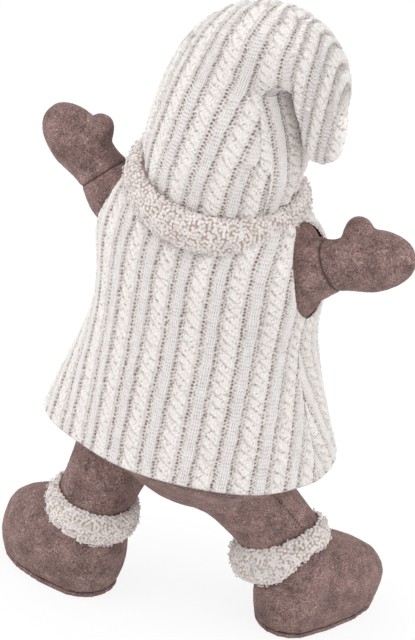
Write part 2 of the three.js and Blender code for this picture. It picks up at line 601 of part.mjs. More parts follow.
function leg(side) {
  const way = legWay(side);
  const below = new THREE.BoxGeometry(8 * HIP_RADIUS, 8 * HIP_RADIUS, BOOT_TOP_Z);
  below.translate(ankle(side).x, ankle(side).y, BOOT_TOP_Z / 2 + GAP);
  const top = socket(hip(side), way, HIP_RADIUS);
  const foot = ankle(side).addScaledVector(way, WIRE_END);
  const roomTop = top.clone().addScaledVector(way, -HIP_RADIUS);
  const roomFoot = foot.clone().addScaledVector(way, GAP);
  const wireRoom = bar(roomTop, roomFoot, WIRE_RADIUS + GAP);
  add(side + "_leg", cut(legForm(side, 0), below, wireRoom), FELT);
  add(side + "_leg_wire", bar(top, foot, WIRE_RADIUS), STEEL);

  const heading = degToRad(SIGN[side] * TOE_OUT[side] - 90);
  const toBoot = new THREE.Matrix4().makeRotationZ(-heading);
  toBoot.multiply(new THREE.Matrix4().makeTranslation(-ANKLE_X[side], -ANKLE_Y[side], 0));
  const group = new THREE.Group();
  group.position.set(ANKLE_X[side], ANKLE_Y[side], 0);
  group.rotation.z = heading;
  figure.add(group);
  const boot = cut(bootForm(0), pouchForm(GAP, SOLE_THICKNESS), wireRoom.applyMatrix4(toBoot));
  add(side + "_boot", boot, FELT, group);
  const inset = SOLE_INSET - SOLE_LIP;
  const edge = [BOOT_TOE - inset, BOOT_HEEL - inset, BOOT_HALF_WIDTH - inset];
  add(side + "_sole", footLoft([[0, ...edge], [SOLE_THICKNESS, ...edge]]), DARK_FELT, group);
  add(side + "_boot_weight", pouchForm(0, 0), CANVAS, group);
  const cuff = roll(CUFF_RADIUS, CUFF_HALF_THICKNESS, CUFF_HALF_HEIGHT);
  cuff.rotateY(degToRad(-SIGN[side] * CUFF_TILT[side]));
  cuff.translate(ankle(side).x, ankle(side).y, CUFF_Z).applyMatrix4(toBoot);
  add(side + "_boot_cuff", cut(cuff, bootForm(GAP), legForm(side, GAP).applyMatrix4(toBoot)), BOUCLE, group);
}

body();
vest();
hat();
face();
collar();
for (const side of ["left", "right"]) {
  arm(side);
  leg(side);
}

// The origin is under the middle of the whole figure, on the floor.
figure.updateMatrixWorld(true);
const middle = new THREE.Box3().setFromObject(figure, true).getCenter(point(0, 0, 0));
figure.position.set(-middle.x, -middle.y, 0);

export default figure;
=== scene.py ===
import json
import math

import bmesh
import bpy
import numpy as np
from mathutils import Matrix, Vector
from mathutils.kdtree import KDTree


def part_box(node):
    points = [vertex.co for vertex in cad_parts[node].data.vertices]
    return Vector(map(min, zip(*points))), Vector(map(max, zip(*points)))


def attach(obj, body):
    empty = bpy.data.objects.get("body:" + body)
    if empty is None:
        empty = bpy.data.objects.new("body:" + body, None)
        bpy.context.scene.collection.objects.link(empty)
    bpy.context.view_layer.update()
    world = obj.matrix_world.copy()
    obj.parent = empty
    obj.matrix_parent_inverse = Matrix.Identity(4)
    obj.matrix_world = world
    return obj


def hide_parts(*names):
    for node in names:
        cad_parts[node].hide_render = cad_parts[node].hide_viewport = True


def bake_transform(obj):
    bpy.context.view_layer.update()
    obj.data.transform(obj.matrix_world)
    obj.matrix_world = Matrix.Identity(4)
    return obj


# A stuffed Santa doll in metres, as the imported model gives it. Cloth is worked out in millimetres.
MM = 0.001
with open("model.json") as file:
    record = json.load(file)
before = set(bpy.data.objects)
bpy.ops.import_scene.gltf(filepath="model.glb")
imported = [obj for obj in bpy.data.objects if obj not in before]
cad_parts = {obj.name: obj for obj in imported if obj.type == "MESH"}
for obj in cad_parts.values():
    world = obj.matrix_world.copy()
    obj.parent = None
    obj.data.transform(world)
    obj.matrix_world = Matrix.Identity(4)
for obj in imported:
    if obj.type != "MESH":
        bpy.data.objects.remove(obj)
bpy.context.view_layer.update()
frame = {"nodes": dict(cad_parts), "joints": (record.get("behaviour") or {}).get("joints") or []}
SIDES = ("left", "right")
JOINTS = {j["name"]: np.array(j["pos_m"]) for j in frame["joints"]}
scene = bpy.context.scene

# View, from the photograph
IMAGE_HEIGHT = 640
AZIMUTH, ELEVATION, ROLL = 204, 28, 10.5
DISTANCE = 2.2
FOCAL_PIXELS, SENSOR = 3030, 36
AIM_HEIGHT = 0.235
AIM_PIXELS = (4, 11)  # where the aim appears, right of and above the picture's middle

# Lights: strength, softness in degrees, and where from: shares of towards the camera, right and up
SUNS = {"key": (1.0, 45, (0.55, -0.65, 0.75)), "fill": (0.75, 60, (0.5, 0.8, 0.4))}
SKY_LIGHT = 0.97
FLOOR_SIZE, FLOOR_DROP = 30, 0.0005
FLOOR_GREY, FLOOR_GLOW = 0.9, 0.85  # its colour, and how much of it looks plain white

# Vest in millimetres, as the solids have it
LEAN = 12
HEM_Z, BRIM_Z = 147, 359
VEST_STATIONS = np.array([
    [147, 110, 80],
    [239, 81.5, 67],
    [299, 87, 60],
    [332, 77, 51],
    [346, 51, 46],
], float)  # height, half width, half depth
VEST_TOP_Z = 345
SIDE_SEAM_Y = 8
NECK_Z, HEM_TILT, VEST_FULLNESS = 346, 4.5, 0.88
LEFT_SHOULDER = 67  # from the middle line
ARMHOLE_Z = 304
ARMHOLE_HALF_HEIGHT, ARMHOLE_HALF_WIDTH = 34, 28
KNIT = 4
NECK_TAKE_IN, TAKE_IN_Z = 6, 300  # how far the collar draws the vest in, and from where up
FLUTES = ((2.2, 31, 0.6), (1.3, 17, 2.1))  # of the skirt: height, length and start
FLUTE_RISE, FLUTE_SIDE, FRONT_SHIFT = 110, 30, 400  # where they fade, and the front's shift
VEST_STEPS, ARC_STEPS = 300, 720

# Collar
COLLAR_Z, COLLAR_SIDE, COLLAR_TILT = 341, 3, 11
COLLAR_RADIUS, COLLAR_HALF_THICKNESS, COLLAR_HALF_HEIGHT = 56.5, 10, 14.5
COLLAR_STEPS = 760
COLLAR_SIDE_TILT = 5  # degrees, lower on the right
COLLAR_END, COLLAR_TAPER = 146, 20  # degrees from the back
COLLAR_SINK, COLLAR_SINK_FROM = 4, 90  # how far the ends lie lower, and from how many degrees on

# Hat
BRIM_RADIUS, BRIM_TILT = 58.5, 17
CREASE_Z, CREASE_SIDE, CREASE_ROOM = 430, 41, 2.5
HAT_AT_CREASE, FOLD_HEIGHT = 87, 53
DROOP_WIDTH, TIP_WIDTH, DROOP_LENGTH = 38, 22, 41
HAT_SIDE = 0.86  # cosine of half the hat's side strip, whose ribs run along the hat
BRIM_TAKE_IN = 3.5  # how far the collar draws the hat in
HAT_RIB_LEAN = 7  # degrees, towards the fold
HAT_EDGE = -0.07  # where the hat starts, tucked in the collar
TIP_PLACE = 2 - 45 / 180  # where the hanging end's own piece starts
TIP_ROUND_FROM, TIP_ROUND_LENGTH, TIP_ROUNDING = 2.72, 0.28, 0.7
TIP_RIM, HAT_BLEND = 9, 22
HAT_STEPS, REACH_STEP = 260, 4

# Knitting: a repeat of eleven wales, with a ladder, a rib, a column of loops and a cable
WALE, ROW = 2.5, 2.7
REPEAT_WALES = 11
PROFILE_WALES = (0, 0.35, 1.6, 2.1, 2.4, 4.4, 4.7, 5.1, 6.2, 6.6, 7.4, 8.75, 10.1, 10.7, 11)
PROFILE_HEIGHTS = (-0.3, -0.7, -0.4, 0.4, 0.7, 0.7, 0.4, -0.5, -0.4, 0.2, 0.8, 1.1, 0.8, 0.2, -0.3)
LADDER_WALES = (0, 0.35, 1.7, 2.1)  # where each column rises and falls
RIB_WALES = (1.9, 2.2, 4.5, 4.8)
LOOP_WALES = (4.6, 5.0, 6.1, 6.6)
CABLE_WALES = (6.4, 6.9, 10.5, 10.95)
CABLE_MIDDLE, CABLE_HALF = 8.75, 2.2
CABLE_ROWS, CABLE_STITCHES = 3, 5  # rows between crossings, and stitches along a crossing strand
RIB_START, RIB_WALE = 2.05, 0.66  # the rib's own wales are finer
# Columns of holes, which the material darkens with painted shade: wale, reach in wales, shift in rows
# and strength
HOLES = ((0.55, 0.36, 0, 1), (1.4, 0.3, 0.45, 0.5), (5.15, 0.34, 0.2, 0.8), (5.95, 0.3, 0.7, 0.55))
HOLE_HALF_HEIGHT = 0.33  # of a row
WALE_STEPS, ROW_STEPS = 5, 4

# Stuffed felt and looped plush
TORSO_LOW, TORSO_ROOM = 215, 5  # lowest point of the stuffed body, and its room to the vest
TORSO_TOP_ROUND, TORSO_LOW_ROUND = 8, 20
TORSO_LEVELS, TORSO_STEPS = 60, 120
ARMHOLE_SWELL = 4.5  # how far the stuffed body swells in the armholes
SWELL_FADE, SWELL_SIDES = (26, 42), (0.5, 0.85)  # heights from the armhole, and shares of the way aside
SHOULDER_PAD = 6  # how far the stuffing swells the under side of an arm in the armhole
SHOULDER_PAD_SPAN = (-16, 2, 16, 46)
WRIST_SEAM, WRIST_SEAM_SLANT = 34, -0.22  # from the shoulder's middle, and its way on for each mm down
LEG_TUCK, LEG_TUCK_SPAN = 24, 14  # how far a trouser leg goes on into its boot
LEG_BLEND = (0.012, 0.055)  # metres from the hip
STITCH_PITCH, LEG_SEAM_OUT = 3.2, 8  # of the leg's seam, and how far out from the hip it runs at least
CUFF_DROP = {"left": 0, "right": 8}  # how far each cuff is turned down
CUFF_EDGE, CUFF_SPREAD = (-12, 6), 0.45  # heights about its middle, and how far out for each mm down
BOOT_GIVE = {"left": (16, 62), "right": (6, 40)}  # how far a boot's stuffing gives, over what length
BUMP_REACH, BUMP_HEIGHT, BUMP_CLOSEST = 0.62, 0.55, 0.78  # of the plush's bumps, in spacings
TRIES_PER_BUMP = 9
LOOSE_LOOPS = 0.22  # share of the plush's bumps with a loop of yarn standing out
CHEEK, CHEEK_SPREAD = (20, 8, -2), 9  # from the nose
CHEEK_BLUSH, NOSE_BLUSH = 0.55, 0.45

FELT_DARK, FELT_MID, FELT_LIGHT = (0.070, 0.037, 0.033), (0.190, 0.113, 0.104), (0.400, 0.300, 0.280)
# The stuffed body's felt: a darker copy of the felt colours, painted shade for the shadow in the
# armholes
TORSO_SHADED_DARK, TORSO_SHADED_MID, TORSO_SHADED_LIGHT = (0.065, 0.034, 0.030), (0.170, 0.098, 0.090), (0.340, 0.245, 0.228)
# KNIT_GROOVE_SHADE is painted shade, warm in the grooves between strands
# KNIT_PIT_SHADE is painted shade, the warm brown deep in the knit's holes and gaps
KNIT_CREAM, KNIT_GROOVE_SHADE, KNIT_PIT_SHADE = (0.838, 0.818, 0.801), (0.90, 0.84, 0.80), (0.220, 0.132, 0.112)
# BOUCLE_GAP_SHADE is painted shade, low between the plush's bumps and at the roots of its loops
BOUCLE_CREAM, BOUCLE_GAP_SHADE = (0.770, 0.732, 0.722), (0.500, 0.396, 0.345)
SKIN_TONE, BLUSH_TONE = (0.690, 0.460, 0.330), (0.620, 0.250, 0.200)
BEAD_BLACK, STEEL_GREY = (0.012, 0.010, 0.009), (0.55, 0.55, 0.56)
COTTON_BEIGE, FIBRE_WHITE = (0.485, 0.418, 0.314), (0.888, 0.871, 0.839)
CLOTH = {"Specular_IOR_Level": 0.15, "Sheen_Roughness": 0.45}


# Where the figure stands in the frame

def lean_at(z):
    """How far the figure leans to its left at a height."""
    return LEAN * (z - HEM_Z) / (BRIM_Z - HEM_Z)


# The frame's place of the point under the hem's middle
SHOULDER = JOINTS["left_shoulder"] / MM
ORIGIN = np.array([SHOULDER[0] - LEFT_SHOULDER - lean_at(SHOULDER[2]), SHOULDER[1], 0])


# Numbers on smooth curves and smooth random fields

def through(stations, places):
    """Catmull-Rom values at places, counted in stations."""
    last = len(stations) - 1
    padded = np.vstack([2 * stations[0] - stations[1], stations, 2 * stations[-1] - stations[-2]])
    index = np.clip(np.floor(places).astype(int), 0, last - 1)
    t = (places - index)[:, None]
    a, b, c, d = (padded[index + k] for k in range(4))
    square = 2 * a - 5 * b + 4 * c - d
    cube = 3 * b - a - 3 * c + d
    return 0.5 * (2 * b + (c - a) * t + square * t**2 + cube * t**3)


def lattice(cells, seed):
    """One random number from 0 to 1 for each whole-number cell."""
    stirred = np.zeros(cells.shape[0], np.uint64) + np.uint64(seed * 7919 + 17)
    for axis in range(cells.shape[1]):
        cell = cells[:, axis].astype(np.int64).astype(np.uint64)
        stirred = (stirred ^ cell) * np.uint64(0x9E3779B97F4A7C15)
        stirred = stirred ^ (stirred >> np.uint64(29))
    return (stirred >> np.uint64(40)).astype(float) / 2**24


def noise(points, size, seed):
    """A smooth random field from -1 to 1 with features of a size."""
    scaled = np.asarray(points, float) / size
    base = np.floor(scaled)
    t = scaled - base
    t = t * t * (3 - 2 * t)
    total = np.zeros(len(scaled))
    for corner in np.ndindex(*(2,) * scaled.shape[1]):
        weight = np.prod(np.where(np.array(corner), t, 1 - t), axis=1)
        total += weight * lattice(base + np.array(corner), seed)
    return 2 * total - 1


def step(low, high, value):
    """Rises smoothly from 0 at low to 1 at high."""
    t = np.clip((value - low) / (high - low), 0, 1)
    return t * t * (3 - 2 * t)


def band(span, value):
    """1 inside a span and 0 outside, with soft edges."""
    return step(*span[:2], value) * (1 - step(*span[2:], value))


def pulse(turns):
    """A smooth wave from 0 to 1, at 1 on whole numbers."""
    return 0.5 + 0.5 * np.cos(2 * np.pi * turns)


# Meshes

def mesh_object(name, points, faces):
    """A smooth-shaded object from points in millimetres."""
    mesh = bpy.data.meshes.new(name)
    mesh.from_pydata((np.asarray(points) * MM).tolist(), [], np.asarray(faces).tolist())
    mesh.update()
    made = bpy.data.objects.new(name, mesh)
    scene.collection.objects.link(made)
    return shaded_smooth(made)


def shaded_smooth(obj):
    obj.data.polygons.foreach_set("use_smooth", np.ones(len(obj.data.polygons), bool))
    return obj


def coordinates(obj):
    flat = np.zeros(len(obj.data.vertices) * 3)
    obj.data.vertices.foreach_get("co", flat)
    return flat.reshape(-1, 3) / MM


def normals(obj):
    flat = np.zeros(len(obj.data.vertices) * 3, np.float32)
    obj.data.vertex_normals.foreach_get("vector", flat)
    return flat.reshape(-1, 3).astype(float)


def place(obj, points):
    obj.data.vertices.foreach_set("co", (points * MM).ravel())
    obj.data.update()


def give(obj, name, values):
    """A number for each vertex, which the materials read."""
    data = obj.data.attributes.new(name, "FLOAT", "POINT").data
    data.foreach_set("value", np.asarray(values, np.float32))


def tidy(obj, distance=1e-3):
    """Merges points that lie on each other."""
    work = bmesh.new()
    work.from_mesh(obj.data)
    bmesh.ops.remove_doubles(work, verts=work.verts, dist=distance * MM)
    bmesh.ops.dissolve_degenerate(work, edges=work.edges, dist=distance * MM)
    loose = [v for v in work.verts if not v.link_faces]
    bmesh.ops.delete(work, geom=loose, context="VERTS")
    work.to_mesh(obj.data)
    work.free()
    shaded_smooth(obj)


def soft_form(name, nodes, voxel, rounds, levels=0):
    """One rounded skin round solids of the frame, with edges smoothed as stuffing rounds cloth."""
    points, faces, start = [], [], 0
    for node in nodes:
        source = frame["nodes"][node]
        points.append(coordinates(source))
        faces += [[start + i for i in p.vertices] for p in source.data.polygons]
        start += len(source.data.vertices)
    made = mesh_object(name, np.vstack(points), faces)
    tidy(made, distance=0.01)
    remesh = made.modifiers.new("skin", "REMESH")
    remesh.mode = "VOXEL"
    remesh.voxel_size = voxel * MM
    smooth = made.modifiers.new("round", "SMOOTH")
    smooth.factor = 0.5
    smooth.iterations = rounds
    if levels:
        finer = made.modifiers.new("finer", "SUBSURF")
        finer.levels = levels
    graph = bpy.context.evaluated_depsgraph_get()
    baked = bpy.data.meshes.new_from_object(made.evaluated_get(graph))
    made.modifiers.clear()
    made.data = baked
    return shaded_smooth(made)


def felt_surface(obj, lumps, seed):
    """Soft lumps of stuffing and the fine unevenness of felt."""
    points, outward = coordinates(obj), normals(obj)
    height = lumps * noise(points, 17, seed) + 0.13 * noise(points, 1.7, seed + 1)
    place(obj, points + outward * height[:, None])


# Knitting

def holes(wale, row, repeat, column, reach, seed):
    """Round holes in one column of stitches, one to a row and no two alike, from 0 to 1."""
    count = np.floor(row)
    which = np.column_stack([count, repeat])
    strength = 0.45 + 0.55 * lattice(which, seed)
    aside = 0.35 * (lattice(which, seed + 1) - 0.5)
    above = 0.5 + 0.3 * (lattice(which, seed + 2) - 0.5)
    across = (wale - column - aside) / reach
    along = (row - count - above) / HOLE_HALF_HEIGHT
    return strength * np.exp(-(across**2) - along**2)


def knit_relief(u, v, seed):
    """At flat places of the cloth: height in millimetres, how deep in a hole from 0 to 1, which the
    material darkens with painted shade, and a count of yarns that goes up by one from each strand to
    the next."""
    flat = np.column_stack([u, v])
    wander = 0.7 * noise(flat, 45, seed) + 0.4 * noise(flat, 8, seed + 1)
    wales = (u + wander) / WALE
    x, repeat = wales % REPEAT_WALES, wales // REPEAT_WALES
    rows = (v + 0.6 * noise(flat, 22, seed + 2)) / ROW
    height = np.interp(x, PROFILE_WALES, PROFILE_HEIGHTS)

    rung = pulse(rows + 0.25 * x)
    height += band(LADDER_WALES, x) * 0.6 * (rung - 0.4)
    shaded_pit = np.zeros(len(x))
    for k, (wale, reach, shift, strength) in enumerate(HOLES):
        shaded_pit += strength * holes(x, rows + shift, repeat, wale, reach, seed + 10 + 3 * k)
    yarn = 2 * rows

    rib = band(RIB_WALES, x)
    column = ((x - RIB_START) / RIB_WALE) % 1
    across = np.abs(column - 0.5)
    lean = pulse(rows - across)
    height += rib * (0.42 * np.cos(2 * np.pi * (column - 0.5)) + 0.4 * (lean - 0.5))
    gap = np.exp(-(((0.5 - across) / 0.2) ** 2))
    # painted shade in the gaps between the rib's columns, deepest where a strand leans back
    shaded_pit += rib * gap * (0.05 + 0.34 * (1 - lean) * (0.5 + 0.5 * noise(flat, 3, seed + 5)))
    yarn = np.where(rib > 0.5, 0.25 + 0.12 * np.cos(2 * np.pi * (rows - across)), yarn)

    curl = pulse(rows + 0.45 * (x - 5.5) + 0.4 * noise(flat, 4, seed + 3))
    height += band(LOOP_WALES, x) * 0.8 * (curl - 0.4)

    side = np.clip((x - CABLE_MIDDLE) / CABLE_HALF, -1, 1)
    cable = band(CABLE_WALES, x)
    plait = rows / CABLE_ROWS + 0.55 * side + 0.15 * noise(flat, 6, seed + 6)
    turn = np.abs(np.cos(np.pi * plait))
    slip = (2 * plait) % 1
    stitch = CABLE_STITCHES / 2 * side - 1.2 * np.abs(slip - 0.5)
    bead = pulse(stitch)
    height += cable * (0.9 * (turn**0.6 - 0.72) + 0.3 * np.sin(np.pi * slip) + 0.35 * (bead - 0.5))
    # painted shade where the cable's strands cross, darker on the side of its lower wales, and in small
    # scattered gaps
    crossing_shade = (1 - turn) ** 2.5
    shaded_pit += cable * crossing_shade * (0.2 * (1 - step(-0.75, 0.2, side)) + 0.03)
    shaded_pit += cable * 0.3 * np.clip(2.2 * noise(flat, 1.3, seed + 7) - 0.9, 0, 1)
    yarn = np.where(cable > 0.5, stitch, yarn)

    shaded_pit = np.clip(1.9 * shaded_pit, 0, 1)
    height += 0.18 * noise(flat, 2.2, seed + 4) - 0.5 * shaded_pit
    return height, shaded_pit, yarn


def knit_grid(u_low, u_high, v_low, v_high):
    """Flat places on a grid that keeps step with the stitches."""
    du, dv = WALE / WALE_STEPS, ROW / ROW_STEPS
    u = np.arange(math.floor(u_low / du), math.ceil(u_high / du) + 1) * du
    v = np.arange(math.floor(v_low / dv), math.ceil(v_high / dv) + 1) * dv
    return u, v


def grid_faces(inside):
    """Quads of a grid whose corners aren't all outside."""
    rows, columns = inside.shape
    index = np.arange(rows * columns).reshape(rows, columns)
    quads = np.stack([index[:-1, :-1], index[:-1, 1:], index[1:, 1:], index[1:, :-1]], -1)
    keep = inside[:-1, :-1] | inside[:-1, 1:] | inside[1:, 1:] | inside[1:, :-1]
    return quads[keep]


def tube_faces(shape):
    """Quads of a grid whose rows close into rings."""
    index = np.arange(shape[0] * shape[1]).reshape(shape)
    beside = np.roll(index, -1, 1)
    return np.stack([index[:-1], index[1:], beside[1:], beside[:-1]], -1).reshape(-1, 4)


def surface_normals(points, shape):
    """Outward normals of a grid of points, by differences."""
    grid = points.reshape(*shape, 3)
    along, across = np.gradient(grid, axis=0), np.gradient(grid, axis=1)
    normal = np.cross(across, along).reshape(-1, 3)
    return normal / np.maximum(np.linalg.norm(normal, axis=1, keepdims=True), 1e-9)


# Vest

def vest_at(z):
    """Half width and half depth at heights."""
    table = through(VEST_STATIONS, np.linspace(0, len(VEST_STATIONS) - 1, 400))
    drawn = NECK_TAKE_IN * step(TAKE_IN_Z, VEST_TOP_Z, z)
    half_width, half_depth = (np.interp(z, table[:, 0], table[:, k]) for k in (1, 2))
    return half_width - drawn, half_depth - drawn


def fuller(share):
    """A sine or cosine of the vest's section, which is fuller than an ellipse."""
    return np.sign(share) * np.abs(share) ** VEST_FULLNESS


def section_arc(half_width, half_depth):
    """Angles from the middle of the back to the middle of the front, and the arc's length to each."""
    angle = np.linspace(0, np.pi, ARC_STEPS)
    across = half_width * fuller(np.sin(angle))
    deep = half_depth * fuller(np.cos(angle))
    length = np.concatenate([[0], np.cumsum(np.hypot(np.diff(across), np.diff(deep)))])
    return angle, length


def armhole_y(z):
    """Half depth of the armhole at heights, 0 above and below it."""
    share = np.clip(1 - ((z - ARMHOLE_Z) / ARMHOLE_HALF_HEIGHT) ** 2, 0, 1)
    return ARMHOLE_HALF_WIDTH * np.sqrt(share)


def hem_wave(u, z):
    """Soft flutes in the skirt of the vest, fading upwards."""
    fade = 1 - step(HEM_Z, HEM_Z + FLUTE_RISE, z)
    return fade * sum(height * np.sin(u / length + start) for height, length, start in FLUTES)


def vest_panel(name, front):
    """One knitted panel: a sheet with its hem and edges turned in."""
    slant = np.linspace(HEM_Z, VEST_TOP_Z, VEST_STEPS)
    widths, depths = vest_at(slant)
    rise = np.concatenate([[0], np.cumsum(np.hypot(np.diff(slant), np.diff(depths)))])
    edges = np.zeros_like(slant)
    for i, z in enumerate(slant):
        bite = armhole_y(z)
        y = SIDE_SEAM_Y
        if bite > 0:
            y = min(y, -bite) if front else max(y, bite)
        share = np.clip(y / depths[i], -1, 1)
        back_angle = math.acos(np.sign(share) * abs(share) ** (1 / VEST_FULLNESS))
        angle = math.pi - back_angle if front else back_angle
        edges[i] = np.interp(angle, *section_arc(widths[i], depths[i]))
    columns, rows = knit_grid(-edges.max(), edges.max(), -KNIT, rise[-1])
    edge = np.interp(rows, rise, edges)[:, None]
    inside = np.abs(columns) < edge
    u = np.clip(np.broadcast_to(columns, inside.shape), -edge, edge)
    v = np.broadcast_to(rows[:, None], inside.shape)

    z = np.interp(rows, rise, slant)
    half_width, half_depth = vest_at(z)
    angle = np.zeros_like(u)
    for i in range(len(rows)):
        arc_angle, arc_length = section_arc(half_width[i], half_depth[i])
        angle[i] = np.sign(u[i]) * np.interp(np.abs(u[i]), arc_length, arc_angle)
    facing = -1 if front else 1
    inward = edge - np.abs(u)
    shift = FRONT_SHIFT if front else 0
    wave = hem_wave(u * facing + shift, z[:, None]) * step(0, FLUTE_SIDE, inward)
    x = -facing * (half_width[:, None] + wave) * fuller(np.sin(angle))
    y = facing * (half_depth[:, None] + wave) * fuller(np.cos(angle))
    slope = math.tan(math.radians(HEM_TILT)) * (NECK_Z - z) / (NECK_Z - HEM_Z)
    tilted = z[:, None] - slope[:, None] * x
    points = np.stack([lean_at(z)[:, None] + x, y, tilted], -1).reshape(-1, 3) + ORIGIN
    outward = surface_normals(points, u.shape)

    height, shaded_pit, yarn = knit_relief(u.ravel(), v.ravel(), seed=31 if front else 11)
    rim = step(0, 5, inward.ravel())
    height = height * (0.35 + 0.65 * rim) - 1.2 * (1 - step(0, 3.5, inward.ravel())) ** 2
    under = np.clip(-v.ravel() / KNIT, 0, 1)
    height = height - KNIT * (1 - np.cos(under * np.pi / 2))
    points = points + outward * height[:, None]
    points[:, 2] -= 1.2 * np.sin(under * np.pi)
    made = mesh_object(name, points, grid_faces(inside))
    give(made, "yarn", yarn)
    give(made, "shaded_pit", shaded_pit)
    tidy(made)
    flat_area = 2 * np.sum((edges[1:] + edges[:-1]) / 2 * np.diff(rise)) * MM * MM
    flat_size = (2 * edges.max() * MM, rise[-1] * MM)
    return made, flat_size, flat_area


# Hat

def hat_section(place):
    """Centre, outward and backward directions and half width of the hat at a place along it.
    From 0 to 1 it stands, from 1 to 2 it turns round the crease, and from 2 to 3 it hangs."""
    hat_x = lean_at(BRIM_Z)
    crease_x = hat_x - CREASE_SIDE

    def standing_edge(z):
        share = ((z - BRIM_Z) / (CREASE_Z - BRIM_Z)) ** 2
        return (hat_x - BRIM_RADIUS) * (1 - share) + (crease_x + CREASE_ROOM) * share

    if place < 1:
        z = BRIM_Z + (CREASE_Z - BRIM_Z) * place
        width = 2 * BRIM_RADIUS + (HAT_AT_CREASE - 2 * BRIM_RADIUS) * place**2
        tilt = math.radians(BRIM_TILT) * (1 - place)
        back = (0, math.cos(tilt), -math.sin(tilt))
        return (standing_edge(z) + width / 2, 0, z), (1, 0, 0), back, width / 2
    if place <= 2:
        turn = place - 1
        middle = 2 * FOLD_HEIGHT - (HAT_AT_CREASE + DROOP_WIDTH) / 2
        width = (1 - turn) ** 2 * HAT_AT_CREASE + 2 * turn * (1 - turn) * middle + turn**2 * DROOP_WIDTH
        out = (math.cos(math.pi * turn), 0, math.sin(math.pi * turn))
        reach = CREASE_ROOM + width / 2
        return (crease_x + out[0] * reach, 0, CREASE_Z + out[2] * reach), out, (0, 1, 0), width / 2
    z = CREASE_Z - DROOP_LENGTH * (place - 2)
    width = DROOP_WIDTH + (TIP_WIDTH - DROOP_WIDTH) * (place - 2)
    return (standing_edge(z) - 2 * CREASE_ROOM - width / 2, 0, z), (-1, 0, 0), (0, 1, 0), width / 2


def hat_reach():
    """Tables of the hat's farthest reach: to both sides of its ribs' middle line by height,
    and upwards and backwards by x."""
    turn = np.linspace(0, 2 * np.pi, 64)
    cloud = []
    for spot in np.linspace(HAT_EDGE, 3, 240):
        centre, out, back, radius = (np.array(part) for part in hat_section(spot))
        cloud.append(centre + radius * (np.cos(turn)[:, None] * out + np.sin(turn)[:, None] * back))
    cloud = np.vstack(cloud)

    def farthest(values, places, starts):
        which = np.digitize(places, starts) - 1
        return starts, np.array([values[which == k].max() for k in range(len(starts))])

    x, y, z = cloud.T
    aside = x - rib_middle(z)
    levels = np.arange(z.min(), z.max(), REACH_STEP)
    across = np.arange(x.min(), x.max(), REACH_STEP)
    left, right = farthest(aside, z, levels), farthest(-aside, z, levels)
    return left, right, farthest(z, x, across), farthest(y, x, across)


def rounding(share):
    """About an arc sine, without its steep ends."""
    share = np.clip(share, -1, 1)
    return share * (1 + 0.2 * share**2 + 0.2 * share**4)


def rib_middle(z):
    return lean_at(BRIM_Z) - math.tan(math.radians(HAT_RIB_LEAN)) * (z - BRIM_Z)


def hat_pattern(points):
    """Flat places of the knitting: the ribs run up the hat and over its fold."""
    left, right, top, deep = hat_reach()
    x, y, z = points.T
    aside = x - rib_middle(z)
    reach = np.where(aside > 0, np.interp(z, *left), np.interp(z, *right)) + 1
    u = reach * rounding(aside / reach)
    rise = np.maximum(np.interp(x, *top) - CREASE_Z, 12) + 1
    over = np.arctan2((z - CREASE_Z) / rise, np.abs(y) / np.maximum(np.interp(x, *deep), 8))
    return -u, np.where(z < CREASE_Z, z, CREASE_Z + rise * over)


